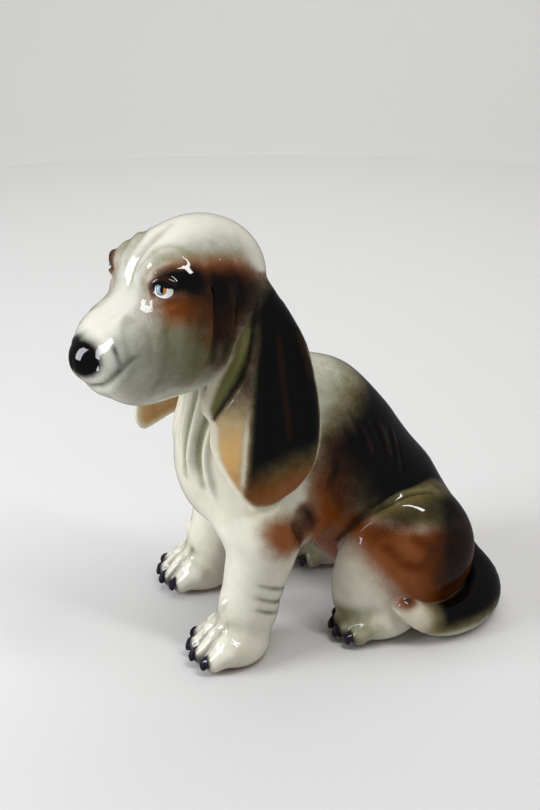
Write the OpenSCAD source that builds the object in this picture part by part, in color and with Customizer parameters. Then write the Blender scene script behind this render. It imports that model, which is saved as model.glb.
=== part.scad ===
// Seated basset hound figurine in glazed earthenware.
// Nine hollow or solid slip-cast pieces that a potter lutes together before firing.
// Frame: +Z up, the dog looks along -Y, its left side is +X, the table is Z = 0 and the
// origin is the middle of the footprint box. Units are millimetres.

/* [Overall size] */
// height from the table to the top of the skull
figure_h = 275; // [190:5:360]
// length from the nose tip to the back of the tail
figure_l = 276; // [200:4:360]
// width across the right paw and the curled tail
figure_w = 142; // [110:2:190]

/* [Clay shell] */
// thickness of the cast wall
wall_t = 4; // [2.5:0.5:6]
// bore of the vents that join the hollows and open under the rump
vent_d = 9; // [5:0.5:13]

/* [Head] */
// turn of the head towards the left side, degrees
head_turn = 18; // [0:1:30]
// length of the muzzle in front of the eyes
muzzle_l = 42; // [34:1:50]
// half width of the skull across the temples
skull_r = 38; // [33:0.5:42]
// half height of the hanging flews
flew_r = 28; // [24:0.5:31]

/* [Ears] */
// length of the left ear from its root to its tip
ear_l = 132; // [105:1:145]
// length of the right ear, which hangs forward and is a little shorter
ear_right_l = 118; // [100:1:135]
// widest part of an ear, front edge to back edge
ear_w = 76; // [60:1:86]
// thickness in the middle of an ear
ear_t = 12; // [8:0.5:15]

/* [Torso] */
// half width of the rib cage
ribs_r = 41; // [36:0.5:46]
// half width of the neck where it enters the head
neck_r = 29; // [24:0.1:35]

/* [Legs] */
// half width of a foreleg at the elbow
elbow_r = 23; // [19:0.1:28]
// half width of a foreleg just above the paw
wrist_r = 17.5; // [15:0.5:20]
// half width of each haunch, before it sinks into the torso
haunch_r = 26; // [22:0.5:30]
// half length of each hind foot
foot_r = 27; // [23:0.5:31]

/* [Tail] */
// radius of the tail where it leaves the rump
tail_root_r = 18; // [14:0.1:22]
// radius of the tail just before its tip
tail_tip_r = 7; // [5:0.5:9]

/* [Hidden] */

// size at which the lumps of clay below are laid out, and the middle of its footprint
BASE_H = 275.2;
BASE_L = 276.3;
BASE_W = 141.7;
FOOT_MID = [2.9, 51.0];
kw = figure_w / BASE_W;
kl = figure_l / BASE_L;
kh = figure_h / BASE_H;
inset = wall_t / ((kw + kl + kh) / 3);

// how finely a skin is sampled
AROUND = 36;
INNER_AROUND = 22;
BISECTIONS = 12;
REACH = 125;
FAN = 5;
INNER_FAN = 3;

IVORY = [0.90, 0.88, 0.80];
CREAM = [0.86, 0.84, 0.76];
SADDLE = [0.22, 0.19, 0.13];
EAR_BLACK = [0.10, 0.09, 0.07];
EAR_OLIVE = [0.33, 0.30, 0.18];
RUST = [0.62, 0.38, 0.20];
TAIL_BLACK = [0.13, 0.14, 0.10];

// a lump is [middle, half axes, tilt about X, blend]; a limb is [end, end, radius, radius, blend]
TORSO_CLAY = [
  [[0, 15, 114], [39, 38, 48], 10, 0],
  [[0, 58, 126], [ribs_r, 50, 54], -40, 24],
  [[0, 106, 80], [42, 50, 54], -50, 20],
  [[0, 132, 40], [43, 46, 46], 0, 16],
  [[31, 28, 112], [18, 28, 44], -8, 14],
  [[0, 24, 150], [0, 8, 210], neck_r + 7, neck_r, 22]];
FORELEG_CLAY = [
  [[42, 22, 84], [43, 11, 32], elbow_r, wrist_r, 0],
  [[43, 11, 32], [44, 6, 14], wrist_r, 17, 6],
  [[45, 0, 10], [22, 21, 15], 0, 8],
  [[30, -13, 9], [7, 12, 11], 0, 4],
  [[40, -18, 9], [7, 12, 11], 0, 3],
  [[51, -18, 9], [7, 12, 11], 0, 3],
  [[61, -13, 9], [7, 12, 11], 0, 3]];
HAUNCH_CLAY = [
  [[41, 118, 48], [haunch_r, 44, 47], -22, 0],
  [[44, 92, 38], [17, 24, 34], -16, 12]];
FOOT_CLAY = [
  [[47, 98, 10], [19, foot_r, 13], 0, 0],
  [[34, 82, 9], [7, 11, 9], 0, 4],
  [[43, 77, 9], [7, 11, 9], 0, 3],
  [[52, 77, 9], [7, 11, 9], 0, 3],
  [[61, 82, 9], [7, 11, 9], 0, 3]];
NOSE_Y = -46 - muzzle_l;
HEAD_CLAY = [
  [[0, -20, 237], [skull_r, 43, 38], 14, 0],
  [[20, -49, 247], [15, 14, 14], 0, 16],
  [[0, -48, 228], [0, NOSE_Y, 208], 19, 13, 14],
  [[15, NOSE_Y / 2 - 16, 204], [19, 32, flew_r], 14, 12],
  [[20, -34, 213], [19, 26, 32], 0, 14],
  [[0, NOSE_Y / 2 - 22, 189], [15, 24, 12], 0, 8],
  [[0, NOSE_Y - 1, 205], [12, 10, 12], 0, 5]];

// middle lines that the skins are cast from, end to end inside each form
TORSO_PATH = [[0, 134, 36], [0, 114, 68], [0, 88, 98], [0, 60, 122], [0, 38, 142], [0, 22, 168], [0, 13, 194]];
FORELEG_PATH = [[42, 22, 82], [42.5, 17, 58], [43, 12, 34], [45, 1, 12]];
HAUNCH_PATH = [[42, 124, 58], [43, 112, 42], [44, 98, 28]];
FOOT_PATH = [[47, 108, 9], [47, 96, 9], [47, 84, 9]];
HEAD_PATH = [[0, -6, 240], [0, -26, 232], [0, -46, 221], [0, -64, 211], [0, NOSE_Y + 12, 206]];
HEAD_PIVOT = [0, 10, 0];

// tail: middle line and the share of the way from root radius to tip radius
TAIL_PATH = [[0, 158, 30], [12, 171, 18], [30, 175, 14], [47, 169, 13], [59, 155, 12],
             [64, 138, 12], [64, 122, 16], [58, 108, 26]];
TAIL_STEPS = 26;
TAIL_AROUND = 20;

// ear cross-sections down the ear: [share of the length, width share, middle Y, drop of the middle X]
EAR_ROOT = [31, -6, 243];
EAR_SECTIONS = [
  [0.00, 0.22, 4, 0], [0.08, 0.42, 5, 4], [0.20, 0.62, 6, 8], [0.35, 0.82, 5, 12], [0.52, 0.96, 5, 15],
  [0.68, 1.00, 6, 17], [0.80, 0.92, 7, 18], [0.90, 0.72, 5, 18.5], [0.97, 0.42, 1, 19], [1.00, 0.14, -3, 19]];
EAR_STEPS = 22;
EAR_AROUND = 26;
// how far the edges curl in towards the neck, and how far the head's turn is undone in the
// hanging ears, which lie along the body
EAR_WRAP = 6;
EAR_LIE = 13;
RIGHT_EAR_SWING = 14;

// ---- clay: distance to the blended lumps, negative inside ----
function blend(a, b, k) =
  let (h = max(k - abs(a - b), 0)) k == 0 ? min(a, b) : min(a, b) - h * h / (4 * k);

function lump_gap(p, l) =
  let (q = p - l[0],
       c = cos(l[2]),
       s = sin(l[2]),
       r = l[1],
       u = [q.x / r.x, (c * q.y + s * q.z) / r.y, (c * q.z - s * q.y) / r.z],
       near = norm(u) + 0.000001,
       slope = norm([u.x / r.x, u.y / r.y, u.z / r.z]) + 0.000001)
  near * (near - 1) / slope;

function limb_gap(p, l) =
  let (run = l[1] - l[0],
       h = min(max(((p - l[0]) * run) / (run * run), 0), 1))
  norm(p - l[0] - h * run) - (l[2] + (l[3] - l[2]) * h);

function piece_gap(p, l) = len(l) == 5 ? limb_gap(p, l) : lump_gap(p, l);

function clay(p, lumps, i = 0, gap = 1000) =
  i == len(lumps) ? gap
  : clay(p, lumps, i + 1, blend(gap, piece_gap(p, lumps[i]), lumps[i][len(lumps[i]) - 1]));

// a form that is the same on both sides is measured on its left half
function folded(p, lumps, both) = clay(both ? [abs(p.x), p.y, p.z] : p, lumps);

// how far along a ray the skin lies
function cast(from, way, lumps, both, depth, near = 0, far = REACH, left = BISECTIONS) =
  let (mid = (near + far) / 2)
  left == 0 ? mid
  : folded(from + way * mid, lumps, both) + depth > 0
    ? cast(from, way, lumps, both, depth, near, mid, left - 1)
    : cast(from, way, lumps, both, depth, mid, far, left - 1);

// ---- middle lines ----
function unit(v) = v / norm(v);

// point on a smooth curve through the given points, t from 0 to 1
function glide(pts, t) =
  let (last = len(pts) - 1,
       i = min(floor(t * last), last - 1),
       u = t * last - i,
       b = pts[i],
       c = pts[i + 1],
       a = i == 0 ? 2 * b - c : pts[i - 1],
       d = i == last - 1 ? 2 * c - b : pts[i + 2])
  0.5 * (2 * b + (c - a) * u + (2 * a - 5 * b + 4 * c - d) * u * u + (3 * b - a - 3 * c + d) * u * u * u);

function heading(pts, t) = unit(glide(pts, min(t + 0.01, 1)) - glide(pts, max(t - 0.01, 0)));

// one ring of the skin: rays square to the middle line, leaning ahead by lean degrees
function ring(path, t, lean, n, lumps, both, depth) =
  let (from = glide(path, t),
       ahead = heading(path, t),
       lift = unit(cross(ahead, [1, 0, 0])),
       side = cross(lift, ahead))
  [for (i = [0 : n - 1])
    let (way = (side * cos(360 * i / n) + lift * sin(360 * i / n)) * cos(lean) + ahead * sin(lean))
    from + way * cast(from, way, lumps, both, depth)];

function pole(path, t, sign, lumps, both, depth) =
  let (from = glide(path, t), way = heading(path, t) * sign)
  from + way * cast(from, way, lumps, both, depth);

// rings from one end of a form to the other, with the two end points last
function cast_skin(path, steps, n, fan, lumps, both = false, depth = 0) =
  let (open = 90 / (fan + 0.6))
  concat(
    [for (k = [fan : -1 : 1]) ring(path, 0, -k * open, n, lumps, both, depth)],
    [for (j = [0 : steps]) ring(path, j / steps, 0, n, lumps, both, depth)],
    [for (k = [1 : fan]) ring(path, 1, k * open, n, lumps, both, depth)],
    [[pole(path, 0, -1, lumps, both, depth), pole(path, 1, 1, lumps, both, depth)]]);

// ---- solids ----
// closes rings of points, whose last entry holds the two end points, into a solid
module close_skin(rings) {
  count = len(rings) - 1;
  n = len(rings[0]);
  pts = concat([for (r = [0 : count - 1]) each rings[r]], rings[count]);
  walls = [for (r = [0 : count - 2]) for (i = [0 : n - 1])
    let (k = (i + 1) % n, a = r * n + i, b = r * n + k, c = b + n, d = a + n)
    each [[a, c, b], [a, d, c]]];
  starts = [for (i = [0 : n - 1]) [count * n, i, (i + 1) % n]];
  ends = [for (i = [0 : n - 1]) [count * n + 1, (count - 1) * n + (i + 1) % n, (count - 1) * n + i]];
  polyhedron([for (p = pts) sized(p)], concat(walls, starts, ends));
}

// layout place to finished place: the three overall sizes, then the origin
function sized(p) = [(p.x - FOOT_MID.x) * kw, (p.y - FOOT_MID.y) * kl, p.z * kh];

function turned(p) =
  let (q = p)
  [q.x * cos(head_turn) - q.y * sin(head_turn) + HEAD_PIVOT.x,
   q.x * sin(head_turn) + q.y * cos(head_turn) + HEAD_PIVOT.y, q.z];

function all_turned(rings) = [for (r = rings) [for (p = r) turned(p)]];
function swapped(rings) = [for (r = rings) [for (i = [len(r) - 1 : -1 : 0]) [-r[i].x, r[i].y, r[i].z]]];
function flipped(rings) =
  let (m = swapped(rings), last = len(m) - 1)
  [for (i = [0 : last]) i == last ? [m[i][1], m[i][0]] : m[i]];

// a fired piece is one body of clay
module fired() {
  resize([0, 0, 0]) children();
}

// clay above a height, as when a sole is rubbed flat
module above(z) {
  intersection() {
    children();
    translate([-300, -300, z]) cube([600, 600, 600]);
  }
}

// straight vent through a wall, from one layout place to another
module vent(from, to) {
  a = sized(from);
  b = sized(to);
  run = b - a;
  translate(a)
    rotate([0, acos(run.z / norm(run)), atan2(run.y, run.x)])
      cylinder(d = vent_d, h = norm(run), $fn = 20);
}

module torso_form() {
  close_skin(cast_skin(TORSO_PATH, 24, AROUND, FAN, TORSO_CLAY, true));
}

module torso_hollow() {
  close_skin(cast_skin(TORSO_PATH, 14, INNER_AROUND, INNER_FAN, TORSO_CLAY, true, inset));
}

module head_form() {
  close_skin(all_turned(cast_skin(HEAD_PATH, 16, AROUND, FAN, HEAD_CLAY, true)));
}

module head_hollow() {
  close_skin(all_turned(cast_skin(HEAD_PATH, 8, INNER_AROUND, INNER_FAN, HEAD_CLAY, true, inset)));
}

function side_of(rings, left) = left ? rings : flipped(rings);

module foreleg_form(left) {
  close_skin(side_of(cast_skin(FORELEG_PATH, 12, 30, 7, FORELEG_CLAY), left));
}

module foreleg_hollow(left) {
  close_skin(side_of(cast_skin(FORELEG_PATH, 6, 16, INNER_FAN, FORELEG_CLAY, false, inset), left));
}

module haunch_form(left) {
  close_skin(side_of(cast_skin(HAUNCH_PATH, 6, 30, 6, HAUNCH_CLAY), left));
}

module haunch_hollow(left) {
  close_skin(side_of(cast_skin(HAUNCH_PATH, 4, 16, INNER_FAN, HAUNCH_CLAY, false, inset), left));
}

module foot_form(left) {
  close_skin(side_of(cast_skin(FOOT_PATH, 4, 24, 6, FOOT_CLAY), left));
}

module hind_leg_form(left) {
  haunch_form(left);
  foot_form(left);
}

// ---- pieces ----
module torso() {
  color(SADDLE)
    fired()
      difference() {
        above(0) torso_form();
        above(wall_t) torso_hollow();
        head_form();
        vent([0, 132, -5], [0, 132, 12]);
        vent([20, 18, 92], [50, 22, 84]);
        vent([-20, 18, 92], [-50, 22, 84]);
        vent([20, 122, 50], [54, 122, 50]);
        vent([-20, 122, 50], [-54, 122, 50]);
      }
}

module head() {
  color(CREAM)
    fired()
      difference() {
        head_form();
        head_hollow();
        vent([0, 14, 190], [0, 12, 226]);
      }
}

function ear_row(share) =
  let (s = glide([for (e = EAR_SECTIONS) [e[0], e[1], e[2]]], share),
       d = glide([for (e = EAR_SECTIONS) [e[0], e[3], 0]], share))
  [s.x, s.y, s.z, d.y];

// rings of one ear hanging straight down from its root
function ear_rings(long) =
  concat(
    [for (j = [0 : EAR_STEPS])
      let (e = ear_row(j / EAR_STEPS), half = max(e[1], 0.06) * ear_w / 2, thick = ear_t / 2 * min(1, 0.45 + e[1]))
      [for (i = [0 : EAR_AROUND - 1])
        let (a = 360 * i / EAR_AROUND, across = cos(a))
        EAR_ROOT + [e[3] + thick * sin(a) - EAR_WRAP * across * across * e[1], e[2] + half * across, -e[0] * long]]],
    [let (first = ear_row(0), final = ear_row(1))
      [EAR_ROOT + [first[3], first[2], 2], EAR_ROOT + [final[3], final[2], -long - 1]]]);

// the right ear swings forward about its root before it is mirrored
function swung(rings, angle) =
  [for (r = rings) [for (p = r)
    let (q = p - EAR_ROOT)
    EAR_ROOT + [q.x, q.y * cos(angle) + q.z * sin(angle), q.z * cos(angle) - q.y * sin(angle)]]];

// a hanging ear turned about the upright line through its root
function lying(rings, angle) =
  [for (r = rings) [for (p = r)
    let (q = p - EAR_ROOT)
    EAR_ROOT + [q.x * cos(angle) + q.y * sin(angle), q.y * cos(angle) - q.x * sin(angle), q.z]]];

module ear_form(left) {
  if (left) close_skin(all_turned(lying(ear_rings(ear_l), EAR_LIE)));
  else close_skin(all_turned(flipped(lying(swung(ear_rings(ear_right_l), RIGHT_EAR_SWING), -EAR_LIE))));
}

module ear_fitted(left) {
  fired()
    difference() {
      ear_form(left);
      head_form();
      torso_form();
      foreleg_form(left);
    }
}

module ear_left() {
  color(EAR_BLACK) ear_fitted(true);
}

module ear_right() {
  color(EAR_OLIVE) ear_fitted(false);
}

module foreleg_fitted(left) {
  fired()
    difference() {
      above(0) foreleg_form(left);
      above(wall_t) foreleg_hollow(left);
      torso_form();
    }
}

module foreleg_left() {
  color(IVORY) foreleg_fitted(true);
}

module foreleg_right() {
  color(IVORY) foreleg_fitted(false);
}

module hind_leg_fitted(left) {
  fired()
    difference() {
      above(0) hind_leg_form(left);
      above(wall_t) haunch_hollow(left);
      torso_form();
    }
}

module hind_leg_left() {
  color(RUST) hind_leg_fitted(true);
}

module hind_leg_right() {
  color(RUST) hind_leg_fitted(false);
}

function tail_radius(t) = tail_root_r + (tail_tip_r - tail_root_r) * pow(t, 0.8);

function tail_rings() =
  concat(
    [for (j = [0 : TAIL_STEPS])
      let (t = j / TAIL_STEPS,
           ahead = heading(TAIL_PATH, t),
           lift = unit(cross(ahead, cross([0, 0, 1], ahead))),
           side = cross(lift, ahead),
           tip = sqrt(1 - pow(max(t - 0.9, 0) / 0.11, 2)),
           r = tail_radius(t) * tip)
      [for (i = [0 : TAIL_AROUND - 1])
        let (a = 360 * i / TAIL_AROUND)
        glide(TAIL_PATH, t) + r * (side * cos(a) + lift * sin(a))]],
    [[glide(TAIL_PATH, 0) - heading(TAIL_PATH, 0), glide(TAIL_PATH, 1) + heading(TAIL_PATH, 1)]]);

module tail() {
  color(TAIL_BLACK)
    fired()
      difference() {
        above(0) close_skin(tail_rings());
        torso_form();
        hind_leg_form(true);
      }
}

torso();
head();
ear_left();
ear_right();
foreleg_left();
foreleg_right();
hind_leg_left();
hind_leg_right();
tail();
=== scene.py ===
"""Seated basset hound figurine in glazed earthenware.

The clay is modelled as lumps and limbs that run into each other, as a modeller builds up a
figure. One skin is stretched over all of it, finished with folds, wrinkles and toes, and then
cut along the joints into the pieces that a potter lutes together. Lengths in the modelling
part are millimetres in the layout's own axes (the dog looks along -Y, its left side is +X).
"""
import math

import bpy
import bmesh
import numpy as np
from mathutils import Matrix, Vector


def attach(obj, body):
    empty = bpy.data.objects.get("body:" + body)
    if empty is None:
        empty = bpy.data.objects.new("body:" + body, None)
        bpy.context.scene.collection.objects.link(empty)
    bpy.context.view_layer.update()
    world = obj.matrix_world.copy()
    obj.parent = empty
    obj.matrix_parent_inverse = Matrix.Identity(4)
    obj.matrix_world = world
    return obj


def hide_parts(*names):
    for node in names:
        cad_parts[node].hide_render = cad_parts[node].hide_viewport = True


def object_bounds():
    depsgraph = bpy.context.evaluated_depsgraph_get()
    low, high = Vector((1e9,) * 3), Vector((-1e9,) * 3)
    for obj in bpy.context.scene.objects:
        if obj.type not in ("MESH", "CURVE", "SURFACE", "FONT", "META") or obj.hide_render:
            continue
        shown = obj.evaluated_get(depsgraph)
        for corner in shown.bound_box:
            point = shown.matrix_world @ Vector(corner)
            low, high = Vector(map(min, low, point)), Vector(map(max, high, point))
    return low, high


bl_info = {
    "name": "Hound Figurine",
    "version": (1, 0, 0),
    "blender": (4, 5, 0),
    "location": "View3D > Sidebar > Hound",
    "description": "Models and glazes a seated basset hound figurine",
    "category": "Object",
}

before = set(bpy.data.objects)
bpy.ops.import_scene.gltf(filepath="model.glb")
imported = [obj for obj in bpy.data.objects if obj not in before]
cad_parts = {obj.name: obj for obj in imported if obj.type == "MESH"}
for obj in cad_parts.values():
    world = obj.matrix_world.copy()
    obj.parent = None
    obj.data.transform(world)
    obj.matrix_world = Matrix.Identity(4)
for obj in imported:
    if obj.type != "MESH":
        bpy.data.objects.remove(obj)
CAD_LOW, CAD_HIGH = [np.array(corner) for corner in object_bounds()]

# the layout's own box, which is laid over the frame's box
LAYOUT_LOW = np.array([-68.1, -87.0, 0.0])
LAYOUT_HIGH = np.array([73.9, 189.0, 275.2])
TO_FRAME = (CAD_HIGH - CAD_LOW) / (LAYOUT_HIGH - LAYOUT_LOW)
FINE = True


def to_frame(p):
    """Layout millimetres to frame metres."""
    return CAD_LOW + (np.asarray(p, float) - LAYOUT_LOW) * TO_FRAME


# ---------------------------------------------------------------- clay
def turned(q, axis, degrees):
    """Points turned about the x axis (0) or the upright axis (2)."""
    c, s = math.cos(math.radians(degrees)), math.sin(math.radians(degrees))
    x, y, z = q[..., 0], q[..., 1], q[..., 2]
    if axis == 0:
        return np.stack([x, c * y - s * z, s * y + c * z], -1)
    return np.stack([c * x - s * y, s * x + c * y, z], -1)


def lump(p, middle, half, tilt=0.0):
    """Distance to an ellipsoid of clay, negative inside."""
    q = p - np.asarray(middle, float)
    if tilt:
        q = turned(q, 0, -tilt)
    u = q / np.asarray(half, float)
    near = np.sqrt((u * u).sum(-1)) + 1e-9
    slope = np.sqrt(((u / np.asarray(half, float)) ** 2).sum(-1)) + 1e-9
    return near * (near - 1.0) / slope


def limb(p, a, b, ra, rb):
    """Distance to a round bar of clay from a to b."""
    a, b = np.asarray(a, float), np.asarray(b, float)
    run = b - a
    h = np.clip(((p - a) @ run) / (run @ run), 0, 1)
    return np.linalg.norm(p - a - h[..., None] * run, axis=-1) - (ra + (rb - ra) * h)


def blend(a, b, k):
    """Two forms joined, with the corner between them smoothed over k."""
    h = np.maximum(k - np.abs(a - b), 0) / k
    return np.minimum(a, b) - h * h * k * 0.25


def carve(a, b, k):
    """b taken out of a, with the rim rounded over k."""
    return -blend(-a, b, k)


def ease(x, start, end):
    """Smooth rise from 0 at start to 1 at end."""
    t = np.clip((x - start) / (end - start), 0, 1)
    return t * t * (3 - 2 * t)


def mirrored(p):
    """Points brought over to the left side."""
    q = p.copy()
    q[..., 0] = np.abs(q[..., 0])
    return q


def curve_through(points, count):
    """Smooth curve through control points."""
    c = np.asarray(points, float)
    c = np.vstack([2 * c[0] - c[1], c, 2 * c[-1] - c[-2]])
    spans = len(c) - 3
    out = []
    for t in np.linspace(0, spans, count):
        i = min(int(t), spans - 1)
        u = t - i
        a, b, d, e = c[i:i + 4]
        out.append(0.5 * (2 * b + (d - a) * u + (2 * a - 5 * b + 4 * d - e) * u * u
                          + (3 * b - a - 3 * d + e) * u ** 3))
    return np.array(out)


def along(p, path, radii):
    """Distance to a bar that follows a path, with a radius at each point of it."""
    best = np.full(p.shape[:-1], 1e9)
    for i in range(len(path) - 1):
        best = np.minimum(best, limb(p, path[i], path[i + 1], radii[i], radii[i + 1]))
    return best


def local(p, low, high, form, reach=26.0):
    """A form measured only near its own box; elsewhere just known to be far off."""
    gap = np.maximum(np.maximum(np.asarray(low) - p, p - np.asarray(high)), 0)
    far = np.sqrt((gap * gap).sum(-1))
    d = far + reach
    near = far < reach
    if near.any():
        d[near] = form(p[near])
    return d


def sizes():
    return bpy.context.scene.hound_sizes


def colours():
    return bpy.context.scene.hound_colours


# the head's own axes: turned towards the dog's left about an upright line through the neck
HEAD_PIVOT = np.array([0.0, 10.0, 0.0])


def head_turn():
    return math.degrees(sizes().head_turn)


def in_head(p):
    return turned(p - HEAD_PIVOT, 2, -head_turn())


def from_head(q):
    return turned(np.asarray(q, float), 2, head_turn()) + HEAD_PIVOT


def torso_clay(p):
    m = mirrored(p)
    d = lump(p, (0, 15, 114), (39, 38, 48), tilt=10)
    d = blend(d, lump(p, (0, 58, 126), (41, 50, 54), tilt=-40), 24)
    d = blend(d, lump(p, (0, 85, 103), (38, 41, 46), tilt=-46), 20)
    d = blend(d, lump(p, (0, 107, 72), (41, 45, 48), tilt=-52), 18)
    d = blend(d, lump(p, (0, 131, 39), (43, 44, 44)), 16)
    d = blend(d, lump(m, (29, 28, 112), (17, 28, 44), tilt=-8), 14)
    d = blend(d, lump(m, (32, 47, 86), (13, 18, 22), tilt=-10), 14)
    d = blend(d, limb(p, (0, 24, 150), (0, 8, 210), 36, 1000 * sizes().neck_radius), 22)
    return d


def head_clay(p):
    q = in_head(p)
    m = mirrored(q)
    d = lump(q, (0, -20, 237), (38, 43, 38), tilt=14)
    d = blend(d, lump(m, (20, -46, 246), (14, 14, 13)), 16)
    d = blend(d, limb(q, (0, -50, 221), (0, -88, 204), 16, 12.5), 11)
    d = blend(d, lump(m, (15, -60, 204), (19, 32, 28), tilt=14), 12)
    d = blend(d, lump(m, (20, -34, 213), (19, 26, 32)), 14)
    d = blend(d, lump(q, (0, -66, 189), (15, 24, 12)), 8)
    d = blend(d, lump(q, (0, -89, 205), (12, 10, 12)), 5)
    return d


# where the toes lie (x, y), on the left side
FORE_TOES = ((30, -12), (40, -17), (51, -17), (61, -12))
HIND_TOES = ((34, 81), (43, 76), (52, 76), (61, 81))


def foreleg_clay(p):
    d = limb(p, (42, 22, 78), (43, 11, 32), 22.5, 17.5)
    d = blend(d, limb(p, (43, 11, 32), (44, 6, 14), 17.5, 17), 6)
    d = blend(d, lump(p, (45, 0, 10), (22, 22, 15)), 8)
    for x, y in FORE_TOES:
        d = blend(d, limb(p, (x, y + 8, 13), (x, y - 4, 7), 7.5, 6), 3)
    return d


def haunch_clay(p):
    d = lump(p, (41, 118, 48), (26, 44, 47), tilt=-22)
    return blend(d, lump(p, (44, 92, 38), (17, 24, 34), tilt=-16), 12)


def hind_foot_clay(p):
    d = lump(p, (47, 98, 12), (20, 27, 15))
    for x, y in HIND_TOES:
        d = blend(d, limb(p, (x, y + 9, 15), (x, y - 2, 8), 7, 6.2), 3)
    return d


TAIL_LINE = curve_through([(0, 158, 30), (12, 171, 18), (30, 175, 14), (47, 169, 13), (59, 155, 12),
                           (65, 138, 12), (67, 121, 17), (66, 107, 28)], 26)
TAIL_RADII = np.interp(np.linspace(0, 1, 26), [0, 0.15, 0.4, 0.6, 0.8, 1], [19, 16, 14, 12.5, 10, 6.5])


def tail_clay(p):
    return along(p, TAIL_LINE, TAIL_RADII)


# ears: upright plane beside the neck; v runs backwards, z up, w outwards from the plane
LEFT_EAR_ROOT = np.array([34.2, 21.1])
RIGHT_EAR_ROOT = np.array([-34.2, -1.1])
LEFT_EAR_EDGE = [(-9, 230), (-17, 208), (-27, 187), (-34, 167), (-30, 158), (-31, 143), (-24, 124),
                 (-13, 109), (-4, 106), (8, 107), (22, 114), (32, 127), (36, 142), (37, 160),
                 (35, 180), (29, 203), (22, 219), (15, 230), (4, 240)]
RIGHT_EAR_EDGE = [(-10, 226), (-21, 205), (-30, 185), (-36, 165), (-39, 148), (-40, 134), (-35, 125),
                  (-24, 127), (-8, 133), (10, 138), (24, 147), (31, 163), (32, 182), (27, 203),
                  (20, 220), (12, 232), (0, 238)]


def ear_axes(p, root, outward):
    c, s = math.cos(sizes().ear_lean), math.sin(sizes().ear_lean)
    x, y = p[..., 0] - root[0], p[..., 1] - root[1]
    return -s * x + c * y, p[..., 2], (c * x + s * y) * outward


def edge_gap(u, v, outline):
    """Distance to a closed outline in a plane, negative inside."""
    ring = curve_through(outline + [outline[0]], 48)
    best = np.full(u.shape, 1e9)
    inside = np.zeros(u.shape, bool)
    for a, b in zip(ring, np.roll(ring, -1, 0)):
        run = b - a
        if run @ run < 1e-9:
            continue
        h = np.clip(((u - a[0]) * run[0] + (v - a[1]) * run[1]) / (run @ run), 0, 1)
        best = np.minimum(best, np.hypot(u - a[0] - h * run[0], v - a[1] - h * run[1]))
        crosses = (a[1] > v) != (b[1] > v)
        with np.errstate(divide="ignore", invalid="ignore"):
            at = a[0] + (v - a[1]) * run[0] / run[1] if run[1] else a[0] + 0 * v
        inside ^= crosses & (u < at)
    return np.where(inside, -best, best)


def ear_sheet(v, z, w, outline, face, thick):
    edge = edge_gap(v, z, outline)
    a = edge + thick / 2
    b = np.abs(w - (face - thick / 2))
    return np.where(a > 0, np.hypot(np.maximum(a, 0), b), b) - thick / 2


def left_ear_clay(p):
    v, z, w = ear_axes(p, LEFT_EAR_ROOT, 1)
    stand = np.interp(z, [105, 135, 170, 200, 225, 243], [21, 18, 14, 10, 5, 0])
    ridge = np.interp(z, [105, 115, 154, 197, 228], [-17, -17, -12, -7, -2])
    ahead = ridge - v
    facet = 0.75 * (np.sqrt(np.maximum(ahead, 0) ** 2 + 4) - 2) * (ahead > 0)
    behind = np.interp(z, [107, 114, 127, 142, 160, 180, 203, 230], [8, 22, 32, 36, 37, 35, 29, 15]) - 11 - v
    roll = 0.05 * np.minimum(behind, 0) ** 2
    hollow = 1.8 * np.exp(-((v - 12) / 12) ** 2) + 1.0 * np.exp(-((v + 3) / 5) ** 2) * ease(z, 120, 150)
    return ear_sheet(v, z, w, LEFT_EAR_EDGE, stand - facet - roll - hollow, 1000 * sizes().ear_thickness)


def right_ear_clay(p):
    v, z, w = ear_axes(p, RIGHT_EAR_ROOT, -1)
    stand = np.interp(z, [115, 140, 170, 200, 225, 243], [15, 14, 12, 9, 5, 0])
    ahead = -16 - v
    facet = 0.35 * (np.sqrt(np.maximum(ahead, 0) ** 2 + 9) - 3) * (ahead > 0)
    roll = 0.05 * np.maximum(v - 18, 0) ** 2
    thick = 1000 * sizes().ear_thickness * np.interp(v, [-44, -20], [0.6, 1])
    return ear_sheet(v, z, w, RIGHT_EAR_EDGE, stand - facet - roll, thick)


def all_forms(p):
    """Distance to each form by name."""
    other = flipped(p)
    return {
        "torso": local(p, (-46, -26, -8), (46, 182, 240), torso_clay),
        "head": local(p, (-45, -105, 172), (58, 36, 280), head_clay),
        "foreleg_left": local(p, (16, -32, -6), (70, 48, 110), foreleg_clay),
        "foreleg_right": local(other, (16, -32, -6), (70, 48, 110), foreleg_clay),
        "haunch_left": local(p, (12, 64, -4), (70, 166, 100), haunch_clay),
        "haunch_right": local(other, (12, 64, -4), (70, 166, 100), haunch_clay),
        "hind_foot_left": local(p, (24, 60, -6), (72, 128, 26), hind_foot_clay),
        "hind_foot_right": local(other, (24, 60, -6), (72, 128, 26), hind_foot_clay),
        "tail": local(p, (-20, 98, -6), (78, 194, 50), tail_clay),
        "ear_left": local(p, (22, -20, 98), (62, 66, 246), left_ear_clay),
        "ear_right": local(p, (-58, -50, 112), (-26, 38, 244), right_ear_clay),
    }


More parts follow.
